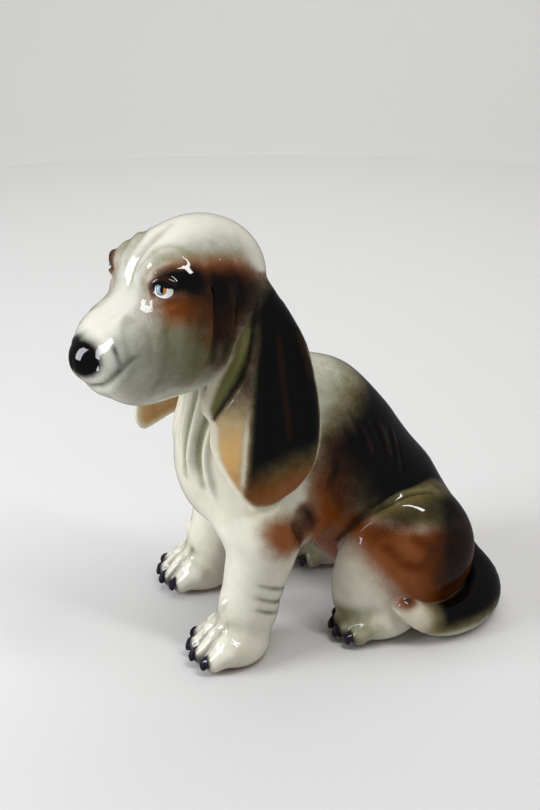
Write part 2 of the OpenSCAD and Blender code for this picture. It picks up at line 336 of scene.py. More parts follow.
def whole(p):
    """The figure as one piece of clay."""
    f = all_forms(p)
    d = blend(f["torso"], f["head"], 6.0)
    for side in ("left", "right"):
        shoulder = 8 + 20 * ease(p[..., 2], 58, 88) * ease(-p[..., 1], -42, -22)
        d = blend(d, f["foreleg_" + side], shoulder)
        soft = 4 + 22 * ease(p[..., 1], 118, 152)
        hind = blend(f["haunch_" + side], f["hind_foot_" + side], 5.0)
        d = blend(d, hind, soft)
        root = 2.2 + 9 * ease(p[..., 2], 208, 232)
        d = blend(d, f["ear_" + side], root)
    d = blend(d, f["tail"], 2.0 + 8 * ease(-p[..., 0], -34, -6))
    # vent under the rump, and the base rubbed flat
    d = carve(d, limb(p, (0, 132, -6), (0, 132, 24), 4.5, 4.5), 1.5)
    return carve(d, p[..., 2], 2.5)


# ---------------------------------------------------------------- skin
def sampled(field, low, high, step, coarse=6):
    """Field on a grid, measured finely only in the blocks that the surface may cross."""
    low = np.asarray(low, float)
    n = np.ceil((np.asarray(high) - low) / (step * coarse)).astype(int)
    big = step * coarse
    axes = [low[i] + big * (np.arange(n[i]) + 0.5) for i in range(3)]
    middles = np.stack(np.meshgrid(*axes, indexing="ij"), -1)
    rough = field(middles.reshape(-1, 3)).reshape(middles.shape[:3])
    values = np.full(n * coarse + 1, 1e3, np.float32)
    filled = np.where(rough < 0, -1e3, 1e3).astype(np.float32)
    values[:-1, :-1, :-1] = filled.repeat(coarse, 0).repeat(coarse, 1).repeat(coarse, 2)
    blocks = np.argwhere(np.abs(rough) < big * 1.9)
    o = np.arange(coarse + 1)
    offsets = np.stack(np.meshgrid(o, o, o, indexing="ij"), -1).reshape(-1, 3)
    for s in range(0, len(blocks), 300):
        at = (blocks[s:s + 300, None, :] * coarse + offsets[None]).reshape(-1, 3)
        values[at[:, 0], at[:, 1], at[:, 2]] = field(low + at * step)
    return values


def stretched_skin(values, low, step):
    """One vertex in each cell that the surface crosses, joined across the grid's edges."""
    inside = values < 0
    shape = np.array(values.shape) - 1
    corners = [(i, j, k) for i in (0, 1) for j in (0, 1) for k in (0, 1)]
    count = np.zeros(shape, np.int8)
    for i, j, k in corners:
        count += inside[i:i + shape[0], j:j + shape[1], k:k + shape[2]]
    cells = np.argwhere((count > 0) & (count < 8))
    number = np.full(shape, -1, np.int64)
    number[tuple(cells.T)] = np.arange(len(cells))
    place, hits = np.zeros((len(cells), 3)), np.zeros(len(cells))
    at = {c: values[cells[:, 0] + c[0], cells[:, 1] + c[1], cells[:, 2] + c[2]].astype(float)
          for c in corners}
    for a in corners:
        for axis in range(3):
            if a[axis]:
                continue
            b = list(a)
            b[axis] = 1
            va, vb = at[a], at[tuple(b)]
            crossed = (va < 0) != (vb < 0)
            t = np.where(crossed, va / (va - vb + 1e-30), 0)
            point = np.array(a, float)[None] + np.eye(3)[axis][None] * t[:, None]
            place += point * crossed[:, None]
            hits += crossed
    points = (cells + place / hits[:, None]) * step + low
    faces = []
    for axis in range(3):
        u, w = (axis + 1) % 3, (axis + 2) % 3
        first, second = [slice(None)] * 3, [slice(None)] * 3
        first[axis], second[axis] = slice(0, -1), slice(1, None)
        a, b = inside[tuple(first)], inside[tuple(second)]
        e = np.argwhere(a != b)
        e = e[(e[:, u] > 0) & (e[:, w] > 0) & (e[:, u] < shape[u]) & (e[:, w] < shape[w])]
        out = a[tuple(e.T)]
        eu, ew = np.zeros(3, int), np.zeros(3, int)
        eu[u], ew[w] = 1, 1
        quad = np.stack([number[tuple((e - eu - ew).T)], number[tuple((e - ew).T)],
                         number[tuple(e.T)], number[tuple((e - eu).T)]], 1)
        quad[~out] = quad[~out][:, ::-1]
        faces.append(quad)
    return points, np.vstack(faces)


def slope_of(field, points, eps=0.06):
    g = np.empty_like(points)
    for i in range(3):
        d = np.zeros(3)
        d[i] = eps
        g[:, i] = (field(points + d) - field(points - d)) / (2 * eps)
    return g


def settled(field, points, times=2):
    """Points moved onto the surface."""
    for _ in range(times):
        f, g = field(points), slope_of(field, points)
        steep = np.maximum((g * g).sum(-1), 0.2)
        points = points - np.clip(f / steep, -1, 1)[:, None] * g
    return points


def halved(points, quads):
    """Quads cut along their shorter diagonal."""
    a = np.linalg.norm(points[quads[:, 0]] - points[quads[:, 2]], axis=1)
    b = np.linalg.norm(points[quads[:, 1]] - points[quads[:, 3]], axis=1)
    short = a <= b
    one = np.where(short[:, None], quads[:, [0, 1, 2]], quads[:, [0, 1, 3]])
    two = np.where(short[:, None], quads[:, [0, 2, 3]], quads[:, [1, 2, 3]])
    return np.vstack([one, two])


def normals_of(points, tris):
    n = np.cross(points[tris[:, 1]] - points[tris[:, 0]], points[tris[:, 2]] - points[tris[:, 0]])
    out = np.zeros_like(points)
    for i in range(3):
        for axis in range(3):
            out[:, axis] += np.bincount(tris[:, i], n[:, axis], len(points))
    return out / (np.linalg.norm(out, axis=1)[:, None] + 1e-12)


def evened(normals, tris, times=2):
    """Normals averaged with their neighbours'."""
    for _ in range(times):
        face = normals[tris].sum(1)
        normals = np.stack([sum(np.bincount(tris[:, i], face[:, axis], len(normals)) for i in range(3))
                            for axis in range(3)], 1)
        normals = normals / (np.linalg.norm(normals, axis=1)[:, None] + 1e-12)
    return normals


# ---------------------------------------------------------------- folds, lids and toes
# Tool marks on the clay: (path, width, height), raised where the height is positive.
BROW_MARKS = [
    ([(10, -62, 252), (12, -56, 259), (16, -49, 263), (22, -43, 262), (30, -39, 257)], 3.4, 0.6),
    ([(15, -61, 249), (17, -54, 256), (22, -47, 258), (30, -43, 254)], 2.2, -0.7),
        ([(7, -60, 253), (9, -53, 262), (13, -46, 266), (21, -40, 265), (30, -36, 260)], 2.0, -0.55),
    ([(0, -70, 238), (0, -62, 248), (0, -54, 257), (0, -44, 265), (0, -34, 271)], 3.6, -1.0),
    ([(6, -66, 242), (6, -59, 250), (6, -52, 259), (8, -44, 265)], 2.8, 0.45),
]
EYE_MARKS = [
    ([(23, -64, 247), (26.5, -61.5, 252.5), (31, -57, 253.5), (37, -51, 249.5)], 2.2, 2.3),
    ([(25, -63, 246), (28, -61, 250), (32, -57, 250), (35, -54, 248)], 1.0, -0.7),
    ([(24, -64, 245), (29, -61, 242.5), (33, -57, 242.5), (37, -52, 246)], 1.6, 1.2),
    ([(24, -65, 241), (28, -63, 236), (34, -57, 236), (38, -50, 240)], 2.4, 0.9),
    ([(24, -66, 244), (27, -63, 239), (33, -58, 238.5), (37, -52, 242)], 1.5, -0.8),
    ([(22, -66, 250), (20, -68, 244), (20, -70, 238)], 2.4, -0.9),
]
CHEEK_MARKS = [
    ([(36, -36, 251), (39, -34, 242), (40, -35, 231), (41, -36, 218), (39, -40, 203),
      (35, -44, 192)], 2.2, 2.0),
    ([(36, -29, 253), (39, -28, 242), (40, -29, 230), (41, -30, 218), (40, -33, 203)], 3.0, -2.4),
    ([(38, -22, 250), (39, -20, 238), (39, -20, 224), (38, -22, 210)], 1.7, 1.2),
    ([(37, -15, 250), (39, -13, 236), (38, -13, 222)], 1.9, -1.4),
    ([(39, -41, 240), (40, -42, 228), (40, -43, 214), (38, -46, 202)], 1.8, -0.8),
    ([(37, -48, 236), (39, -50, 224), (38, -52, 211), (35, -55, 199)], 2.2, 0.7),
    ([(34, -58, 232), (36, -60, 222), (36, -61, 210), (33, -64, 198), (29, -68, 189)], 1.8, -0.9),
    ([(32, -62, 230), (35, -65, 219), (35, -66, 208), (32, -69, 197)], 1.8, 0.8),
    ([(14, -74, 230), (21, -78, 223), (27, -79, 215), (30, -79, 206)], 2.2, -0.5),
]
MUZZLE_MARKS = [
    ([(2, -93, 187), (12, -92, 192), (20, -89, 197), (26, -85, 204), (30, -79, 211),
      (33, -73, 214)], 1.5, -1.4),
    ([(4, -92, 184), (14, -90, 188), (22, -87, 193), (28, -83, 200), (32, -77, 207)], 2.4, 0.5),
    ([(4, -99, 216), (10, -97, 217), (15, -94, 215), (17, -92, 210), (16, -93, 205)], 2.6, 0.5),
    ([(15, -94, 209), (16, -93, 206.5), (13, -96, 204.5)], 1.3, -1.8),
    ([(0, -102, 212), (0, -101, 205), (0, -98, 198), (0, -94, 190)], 1.2, -1.0),
]
# in the dog's own axes, on its left and mirrored on its right
BODY_MARKS = [
    ([(21, -6, 188), (20, -9, 173), (18, -12, 160), (18, -15, 145), (19, -18, 128),
      (22, -17, 110)], 2.8, 2.9),
    ([(14, -10, 182), (13, -12, 166), (12, -16, 150), (14, -19, 132), (15, -21, 116)], 2.6, -2.4),
    ([(8, -11, 180), (6, -14, 163), (8, -18, 146), (11, -22, 128)], 2.8, 1.6),
    ([(26, -3, 184), (25, -6, 166), (23, -11, 148), (24, -14, 132), (27, -12, 114)], 2.6, -2.8),
    ([(31, 3, 180), (30, -2, 163), (28, -8, 146), (29, -11, 130), (32, -9, 116), (36, -5, 100)], 2.8, 2.8),
    ([(32, 79, 153), (34, 84, 141), (34, 88, 130)], 1.8, -0.6),
    ([(27, 91, 149), (30, 97, 134), (31, 100, 124)], 1.8, -0.6),
    ([(22, 104, 137), (27, 108, 124), (30, 110, 114)], 1.8, -0.6),
    ([(36, 73, 147), (38, 77, 136), (38, 80, 126)], 1.8, -0.8),
    ([(24, 114, 126), (31, 116, 114), (34, 117, 105)], 1.8, -0.8),
    ([(33, 84, 146), (35, 89, 134), (35, 92, 122)], 1.6, 1.1),
    ([(26, 98, 142), (30, 103, 129), (32, 106, 118)], 1.6, 1.1),
    ([(30, 73, 157), (35, 77, 146), (37, 83, 136)], 1.4, 0.9),
    ([(22, 108, 134), (28, 112, 121), (32, 114, 110)], 1.5, 1.0),
    ([(41, 62, 132), (41, 60, 118), (38, 57, 104), (34, 55, 92)], 2.6, 1.8),
    ([(42, 68, 124), (40, 65, 110), (36, 62, 96), (31, 60, 84)], 2.2, -1.5),
    ([(39, 74, 118), (38, 71, 104), (34, 68, 92)], 2.4, 1.2),
    ([(44, 52, 112), (42, 50, 98), (40, 47, 88)], 2.6, -1.8),
]
ELBOW_HOLLOW = [(57, 41, 97), (56, 44, 89), (52, 46, 80)]
LEG_MARKS = [
    (ELBOW_HOLLOW, 3.0, -3.0),
    ([(64, 9, 60), (63, 21, 55), (54, 31, 49), (44, 34, 46)], 1.5, -0.8),
    ([(64, 8, 51), (62, 20, 45), (54, 29, 39), (44, 32, 36)], 1.5, -1.0),
    ([(64, 10, 42), (60, 20, 36), (52, 27, 31)], 1.4, -0.9),
    ([(64, 8, 56), (62, 20, 50), (54, 30, 44)], 2.2, 0.5),
    ([(64, 8, 46), (61, 19, 41), (53, 28, 35)], 2.2, 0.5),
    ([(46, -7, 41), (50, -8, 40)], 4.0, 2.0),
    ([(40, -13, 26), (40, -19, 20)], 3.6, 1.3),
    ([(51, -12, 26), (51, -18, 20)], 3.6, 1.3),
    ([(61, -6, 24), (62, -12, 18)], 3.4, 1.2),
    ([(30, -8, 25), (30, -14, 19)], 3.4, 1.2),
    ([(45, -10, 30), (46, -16, 24), (46, -22, 15), (46, -26, 8)], 1.6, -1.5),
    ([(55, -7, 29), (56, -14, 23), (57, -20, 14), (57, -24, 8)], 1.6, -1.5),
    ([(35, -7, 30), (35, -14, 24), (35, -20, 15), (35, -24, 8)], 1.6, -1.5),
]
HAUNCH_MARKS = [
    ([(30, 74, 62), (37, 79, 73), (41, 86, 82), (43, 95, 88), (43, 105, 91),
      (41, 121, 95), (42, 134, 94)], 1.9, -2.0),
    ([(38, 74, 62), (43, 80, 71), (46, 88, 79), (48, 98, 84), (47, 110, 87), (46, 124, 89)], 3.0, 1.2),
    ([(43, 118, 92), (46, 130, 88), (48, 140, 82)], 1.7, -1.1),
    ([(62, 108, 62), (66, 116, 52), (64, 124, 44)], 4.0, -0.8),
    ([(39, 66, 22), (39, 62, 15), (39, 60, 8)], 1.5, -1.3),
    ([(48, 64, 23), (48, 59, 15), (48, 56, 8)], 1.5, -1.3),
    ([(57, 66, 22), (57, 62, 15), (57, 60, 8)], 1.5, -1.3),
]
# in the ear's plane: runs back, up, out
EAR_SLIT = [(-2, 232), (-4, 221), (-6.5, 211), (-10, 201), (-14, 191), (-19, 181), (-24, 172), (-29, 163)]
EAR_MARKS = [
    (EAR_SLIT, 1.7, -3.0),
    ([(-8, 224), (-11, 210), (-15, 198), (-20, 186), (-26, 174)], 1.8, 1.0),
    ([(0, 222), (-2, 208), (-7, 196), (-13, 184), (-20, 172)], 1.8, 1.2),
    ([(4, 226), (2, 206), (1, 186), (0, 165), (0, 140)], 2.6, -1.1),
    ([(10, 222), (10, 200), (11, 180), (13, 158), (14, 138)], 2.4, 1.0),
    ([(16, 218), (20, 196), (22, 176), (24, 156), (23, 138)], 2.8, -1.4),
    ([(20, 214), (26, 196), (28, 180)], 3.4, 1.4),
]
SPINE_MARKS = [
    ([(0, 66, 184), (0, 87, 166), (0, 112, 146), (0, 134, 121), (0, 157, 88)], 4.0, -0.5),
]


def mark(points, normals, path, width, height, reach=9.0):
    """How far one tool mark lifts each point along its normal, fading at the path's ends."""
    path = curve_through(path, 4 * len(path) + 1)
    low, high = path.min(0) - 3 * width - 2, path.max(0) + 3 * width + 2
    near = np.nonzero(((points > low) & (points < high)).all(-1))[0]
    lift = np.zeros(len(points))
    if not len(near):
        return lift
    p = points[near]
    best, offset, place = np.full(len(p), 1e9), np.zeros((len(p), 3)), np.zeros(len(p))
    for i in range(len(path) - 1):
        run = path[i + 1] - path[i]
        h = np.clip(((p - path[i]) @ run) / (run @ run), 0, 1)
        away = p - path[i] - h[:, None] * run
        gap = np.linalg.norm(away, axis=1)
        closer = gap < best
        best[closer], offset[closer], place[closer] = gap[closer], away[closer], (i + h)[closer]
    out = (offset * normals[near]).sum(1)
    aside = np.linalg.norm(offset - out[:, None] * normals[near], axis=1)
    t = place / (len(path) - 1)
    fade = ease(t, 0, 0.22) * ease(-t, -1, -0.78)
    lift[near] = height * fade * np.exp(-(aside / width) ** 2) * ease(-np.abs(out), -reach, -0.6 * reach)
    return lift


def flipped(points):
    """Points with left and right swapped."""
    return points * np.array([-1.0, 1, 1])


def ear_frame(points, normals, root, outward):
    v, z, w = ear_axes(points, root, outward)
    nv, nz, nw = ear_axes(normals + np.array([root[0], root[1], 0.0]), root, outward)
    return np.stack([v, z, w], -1), np.stack([nv, nz, nw], -1)


def tooled(points, normals, owner):
    """The skin with every fold and furrow pressed into it."""
    lift = np.zeros(len(points))
    ears = (owner == "ear_left") | (owner == "ear_right")
    hq, hn = in_head(points), turned(normals, 2, -head_turn())
    for q, n in ((hq, hn), (flipped(hq), flipped(hn))):
        for path, width, height in BROW_MARKS + EYE_MARKS + CHEEK_MARKS + MUZZLE_MARKS:
            single = all(abs(x) < 0.1 for x, _, _ in path)
            lift += np.where(ears, 0, mark(q, n, path, width, height * (0.5 if single else 1)))
    for p, n in ((points, normals), (flipped(points), flipped(normals))):
        for path, width, height in BODY_MARKS + LEG_MARKS + HAUNCH_MARKS:
            lift += np.where(ears, 0, mark(p, n, path, width, height))
    for path, width, height in SPINE_MARKS:
        lift += mark(points, normals, path, width, height)
    for side, root, outward in (("ear_left", LEFT_EAR_ROOT, 1), ("ear_right", RIGHT_EAR_ROOT, -1)):
        q, n = ear_frame(points, normals, root, outward)
        face = ease(n[:, 2], 0.0, 0.4) * (owner == side)
        flat, up = q.copy(), np.tile([0.0, 0, 1], (len(q), 1))
        flat[:, 2] = 0
        for path, width, height in EAR_MARKS:
            lift += face * mark(flat, up, [(v, z, 0) for v, z in path], width, height)
    # the eyeball swells between the lids
    for q, n in ((hq, hn), (flipped(hq), flipped(hn))):
        lift += mark(q, n, [(27, -62, 247.5), (30.5, -59, 247.5), (34, -55.5, 247.5)], 4.2, 1.4)
    lift *= ease(points[:, 2], 0.5, 4)
    return points + lift[:, None] * normals, lift


# ---------------------------------------------------------------- cutting into pieces
# a cut keeps this far (mm) from any point of the skin, so that no two points fall together
CUT_CLEARANCE = 0.02
# a cap lies this far (mm) under the skin at its rim
CAP_DEPTH = 1.3


def patches(tris, chosen):
    """For each chosen point, the lowest numbered point of the patch that it belongs to."""
    edges = np.vstack([tris[:, [0, 1]], tris[:, [1, 2]], tris[:, [2, 0]]])
    edges = edges[chosen[edges].all(1)]
    label = np.arange(len(chosen))
    while True:
        low = np.minimum(label[edges[:, 0]], label[edges[:, 1]])
        new = label.copy()
        np.minimum.at(new, edges[:, 0], low)
        np.minimum.at(new, edges[:, 1], low)
        new = new[new]
        if (new == label).all():
            return label
        label = new


def without_islands(tris, side):
    """Side values with one patch on each side: smaller islands go to the piece round them."""
    side = np.where(np.abs(side) < CUT_CLEARANCE, CUT_CLEARANCE, side)
    for sign in (-1, 1):
        chosen = side * sign > 0
        label = patches(tris, chosen)
        main = np.bincount(label[chosen]).argmax()
        island = chosen & (label != main)
        side = np.where(island, -sign * CUT_CLEARANCE, side)
    return side


def cut_loops(cut_edges):
    """Closed loops of points along a cut, from its edges."""
    follow = dict(cut_edges)
    left = set(follow)
    loops = []
    while left:
        start = left.pop()
        loop = [start]
        after = follow[start]
        while after != start and after in left:
            left.discard(after)
            loop.append(after)
            after = follow[after]
        loops.append(loop)
    return loops


def capped(points, normals, data, loops):
    """Adds the points of a cap for each loop, and gives the caps' triangles.

    A cap goes in under the skin first, so that it can't show beside the joint."""
    places, upright, values, tris = [], [], [], []
    for loop in loops:
        first = len(points) + len(places)
        centre = first + len(loop)
        places += list(points[loop] - CAP_DEPTH * normals[loop]) + [points[loop].mean(0)]
        values += list(data[loop]) + [data[loop].mean(0)]
        upright += list(normals[loop]) + [np.array([0.0, 0, 1])]
        for i, v in enumerate(loop):
            j = (i + 1) % len(loop)
            tris += [(v, first + i, loop[j]), (loop[j], first + i, first + j), (first + i, centre, first + j)]
    if places:
        points, normals, data = (np.vstack(pair) for pair in ((points, places), (normals, upright),
                                                              (data, values)))
    return points, normals, data, np.array(tris, int).reshape(-1, 3)


def sliced(mesh, side):
    """A closed mesh cut where side changes sign, as (negative part, positive part), both closed.

    A mesh is (points, normals, triangles, values carried at the points)."""
    points, normals, tris, data = mesh
    side = without_islands(tris, side)
    sign = side[tris] < 0
    total = sign.sum(1)
    kept = {True: tris[total == 3], False: tris[total == 0]}
    split = {True: [], False: []}
    new_points, new_normals, new_data, made = [], [], [], {}
    count = len(points)
    cut_edges = []

    def crossing(a, b):
        key = (a, b) if a < b else (b, a)
        if key not in made:
            t = side[a] / (side[a] - side[b])
            made[key] = count + len(new_points)
            new_points.append(points[a] + (points[b] - points[a]) * t)
            n = normals[a] + (normals[b] - normals[a]) * t
            new_normals.append(n / (np.linalg.norm(n) + 1e-12))
            new_data.append(data[a] + (data[b] - data[a]) * t)
        return made[key]

    for f in np.nonzero((total > 0) & (total < 3))[0]:
        tri, s = tris[f], sign[f]
        lone = int(np.nonzero(s == (s.sum() == 1))[0][0])
        a, b, c = tri[lone], tri[(lone + 1) % 3], tri[(lone + 2) % 3]
        ab, ac = crossing(a, b), crossing(a, c)
        single = bool(s[lone])
        split[single].append((a, ab, ac))
        split[not single] += [(ab, b, c), (ab, c, ac)]
        # the cut's edge, in the direction in which the negative part's cap walks it
        cut_edges.append((ab, ac) if single else (ac, ab))
    if new_points:
        points = np.vstack([points, new_points])
        normals = np.vstack([normals, new_normals])
        data = np.vstack([data, new_data])
    points, normals, data, caps = capped(points, normals, data, cut_loops(cut_edges))
    out = []
    for negative in (True, False):
        t = np.vstack([kept[negative], np.array(split[negative], int).reshape(-1, 3),
                       caps if negative else caps[:, ::-1]])
        used, back = np.unique(t, return_inverse=True)
        out.append((points[used], normals[used], back.reshape(-1, 3), data[used]))
    return out


def modelled_pieces(step):
    """Every piece of the figure by node name, in layout millimetres."""
    low, high = (-76, -108, -5), (84, 200, 284)
    plain, quads = stretched_skin(sampled(whole, low, high, step), np.asarray(low, float), step)
    plain = settled(whole, plain)
    tris = halved(plain, quads)
    forms = all_forms(plain)
    names = np.array(list(forms))
    owner = names[np.argmin(np.stack([forms[n] for n in names]), 0)]
    normals = normals_of(plain, tris)
    points, lift = tooled(plain, normals, owner)
    cover = sprayed(plain, normals, forms, lift)
    data = np.column_stack([plain] + [cover[name] for name in (*PIGMENTS, "pool")])
    rest = (points, evened(normals_of(points, tris), tris), tris, data)
    pieces = {}

    def hind(f, side):
        return np.minimum(f["haunch_" + side], f["hind_foot_" + side])

    def body(f):
        return np.minimum.reduce([f["torso"], f["head"], f["foreleg_left"], f["foreleg_right"]])

    cuts = [
        ("ear_left", lambda f: f["ear_left"] - body(f)),
        ("ear_right", lambda f: f["ear_right"] - body(f)),
        ("head", lambda f: f["head"] - f["torso"]),
        ("foreleg_left", lambda f: f["foreleg_left"] - f["torso"]),
        ("foreleg_right", lambda f: f["foreleg_right"] - f["torso"]),
        ("tail", lambda f: f["tail"] - np.minimum(f["torso"], hind(f, "left"))),
        ("hind_leg_left", lambda f: hind(f, "left") - f["torso"]),
        ("hind_leg_right", lambda f: hind(f, "right") - f["torso"]),
    ]
    for name, gap in cuts:
        pieces[name], rest = sliced(rest, gap(all_forms(rest[3][:, :3])))
    pieces["torso"] = rest
    return pieces


# ---------------------------------------------------------------- sprayed colours
# in the order in which they are sprayed
PIGMENTS = ("grey", "olive", "peach", "rust", "black", "ink")


def within(d, soft):
    """Spray cover from a distance: full inside, gone outside, over a soft border."""
    return 1 - ease(d, -soft / 2, soft / 2)


def brushed(points, path, width):
    """Cover of a soft line along a path."""
    path = curve_through(path, 4 * len(path) + 1)
    return np.exp(-(np.maximum(along(points, path, np.zeros(len(path))), 0) / width) ** 2)


def paint_head(put, thin, q, m):
    """Black round the eyes and back to the ear, rust round it, grey cheeks, black nose."""
    put("olive", within(lump(m, (36, -42, 220), (15, 30, 34)), 28), 0.6)
    put("grey", within(lump(m, (38, -46, 222), (13, 26, 32)), 26), 0.4)
    put("grey", within(lump(m, (28, -64, 208), (16, 30, 26)), 24), 0.6)
    put("grey", within(lump(m, (40, -38, 206), (10, 22, 24)), 20), 0.55)
    put("grey", within(lump(m, (30, -30, 262), (16, 34, 12)), 18), 0.3)
    # painted shade: olive in the groove at the eye's inner corner
    put("olive", within(limb(m, (20, -66, 246), (18, -74, 230), 4, 3), 12), 0.45)
    put("olive", within(limb(m, (22, -54, 262), (38, -10, 258), 6, 10), 24), 0.6)
    put("rust", within(limb(m, (28, -48, 257), (40, -12, 249), 5, 11), 15), 0.85)
    put("rust", within(lump(m, (35, -51, 238), (11, 16, 10)), 15), 0.95)
    put("rust", within(lump(m, (40, -24, 236), (10, 18, 24)), 20), 0.85)
    put("olive", within(lump(m, (42, -38, 222), (9, 14, 28)), 14), 0.5)
    put("black", within(lump(m, (42, -34, 216), (8, 12, 26)), 20), 0.35)
    put("rust", within(limb(m, (19, -62, 256), (21, -66, 240), 5, 5), 14), 0.35)
    put("grey", within(limb(m, (12, -56, 262), (18, -68, 236), 7, 6), 16), 0.35)
    put("black", within(lump(m, (40, -40, 236), (8, 8, 18)), 14), 0.4)
    put("black", within(limb(m, (24, -64, 249), (37, -50, 251), 3.5, 4.5), 5), 0.95)
    put("black", within(limb(m, (29, -58, 254), (36, -43, 252), 6, 8.5), 9), 1.0)
    put("black", within(limb(m, (36, -40, 249), (42, -8, 238), 8, 15), 17), 0.92)
    put("black", within(limb(m, (42, -21, 244), (42, -21, 204), 12, 10.5), 15), 0.88)
    put("black", brushed(m, CHEEK_MARKS[1][0], 2.6), 0.85)
    put("black", brushed(m, CHEEK_MARKS[3][0], 2.4), 0.7)
    put("black", within(limb(m, (21, -66, 250), (25, -63, 244), 3.2, 2.6), 5), 0.85)
    # the right brow is nearly bare, but for its dark lid
    bare = within(lump(q, (-26, -48, 262), (16, 20, 10)), 8)
    for name in ("rust", "black"):
        thin(name, bare * 0.9)
    put("olive", bare, 0.3)
    put("black", within(lump(q, (-31, -56, 249), (8, 9, 6)), 5), 0.9)
    put("ink", brushed(m, EYE_MARKS[0][0], 2.3), 1.0)
    put("ink", brushed(m, EYE_MARKS[2][0], 0.9), 0.6)
    put("black", brushed(m, EYE_MARKS[4][0], 2.0), 0.45)
    # painted shade: olive pressed into the brow's furrows
    for path, _, height in BROW_MARKS:
        if height < 0:
            put("olive", brushed(m, path, 2.4), 0.3)
    # painted shade: grey pressed into the cheek's grooves
    for path, _, height in CHEEK_MARKS[4:]:
        if height < 0:
            put("grey", brushed(m, path, 2.6), 0.35)
    put("rust", brushed(m, [(34, -44, 192), (26, -56, 185), (16, -62, 180)], 1.6), 0.6)
    put("ink", brushed(m, [(2, -94, 188), (12, -92, 193), (20, -89, 198), (26, -85, 205)], 1.1), 0.55)
    put("grey", brushed(m, [(2, -94, 188), (20, -89, 198), (32, -75, 213)], 2.6), 0.6)
    put("ink", brushed(m, [(20, -87, 221), (23, -85, 215), (25.5, -84, 209)], 1.4), 0.8)
    put("grey", brushed(m, [(19, -85, 225), (26, -83, 205)], 3.4), 0.4)
    put("black", within(lump(m, (6, -98, 208.5), (15, 11, 11)), 5), 1.0)
    # painted reflection: grey that shows round the top edge of the black nose
    put("grey", within(lump(m, (6, -96, 210), (16, 11, 13)), 6), 0.5)
    put("rust", brushed(m, [(3, -99, 197), (3, -96, 192), (3, -94, 188)], 1.6), 0.9)
    put("black", brushed(m, [(0, -100, 198), (0, -96, 190)], 1.2), 0.8)


def paint_torso(put, p, m):
    """Black saddle fading through olive to orange flanks, over ivory chest."""
    below = (66 - p[:, 1]) * 0.766 + (184 - p[:, 2]) * 0.642
    down = (p[:, 1] - 66) * 0.642 - (p[:, 2] - 184) * 0.766
    behind = ease(p[:, 1], 40, 64)
    put("grey", ease(p[:, 1], 34, 58) * within(below - 46, 40), 0.5)
    put("olive", behind * ease(down, 2, 30) * within(below - 62, 30), 0.75)
    put("rust", behind * ease(below, 36, 62), 0.95)
    put("rust", within(lump(m, (38, 66, 106), (14, 16, 36), tilt=-14), 18), 0.85)
    put("black", ease(down, 16, 46) * within(below - 42 - 12 * ease(down, 60, 120), 40), 1.0)
    put("black", within(lump(m, (40, 78, 116), (12, 24, 32)), 26), 0.55)
    put("olive", within(lump(m, (40, 70, 112), (12, 18, 40)), 22), 0.3)
    # painted shade: black in the hollow behind the elbow, where the foreleg meets the torso
    put("black", brushed(m, ELBOW_HOLLOW, 6.0), 1.0)
    put("black", within(lump(m, (50, 47, 90), (8, 6, 12)), 12), 0.9)
    put("rust", within(lump(m, (46, 52, 74), (12, 14, 16)), 12), 0.9)
    put("black", within(limb(m, (50, 45, 94), (38, 52, 84), 5, 6), 9), 0.95)
    put("black", brushed(m, BODY_MARKS[13][0], 2.4), 0.75)
    put("black", brushed(m, BODY_MARKS[15][0], 2.6), 0.8)
    put("ink", brushed(m, HAUNCH_MARKS[0][0], 1.6), 0.75)
    for i in (5, 6, 7, 8, 9):
        put("black", brushed(m, BODY_MARKS[i][0], 1.6), 0.35)
    # painted shade: olive in the throat's furrows
    put("olive", brushed(m, BODY_MARKS[1][0], 3.0), 0.5)
    put("olive", brushed(m, BODY_MARKS[3][0], 3.0), 0.6)
    # painted shade: grey just under the jowl
    put("grey", within(lump(m, (30, -4, 182), (12, 10, 14)), 12), 0.55)


def paint_foreleg(put, m):
    """Ivory leg with a rust patch behind the elbow, painted shade in the elbow's hollow, in the creases and
    between the toes, and dark toes.
    """
    put("olive", within(lump(m, (60, 32, 94), (14, 16, 12)), 18), 0.5)
    put("rust", within(lump(m, (60, 33, 90), (14, 18, 15), tilt=-10), 16), 0.95)
    # painted shade: black in the hollow behind the elbow
    put("black", brushed(m, ELBOW_HOLLOW, 5.0), 1.0)
    put("black", within(lump(m, (56, 42, 90), (6, 6, 11)), 12), 0.9)
    put("ink", brushed(m, [(57, 44, 88), (55, 42, 74), (53, 38, 60)], 1.6), 0.6)
    # painted shade: olive in the wrist's creases, with a fine ink line in each
    for path, _, _ in LEG_MARKS[1:4]:
        put("olive", brushed(m, path, 1.8), 0.4)
        put("ink", brushed(m, path, 0.8), 0.3)
    # painted shade: grey between the toes, with a fine ink line in each groove
    for path, _, _ in LEG_MARKS[-3:]:
        put("grey", brushed(m, path, 2.6), 0.7)
        put("ink", brushed(m, path, 1.0), 0.4)
    put("olive", within(lump(m, (46, -4, 30), (18, 12, 7)), 10), 0.28)
    for x, y in FORE_TOES:
        put("ink", within(lump(m, (x, y - 11, 6), (6, 7, 6.5)), 5), 0.85)
    put("peach", ease(m[:, 2], 5, 1.5), 0.7)


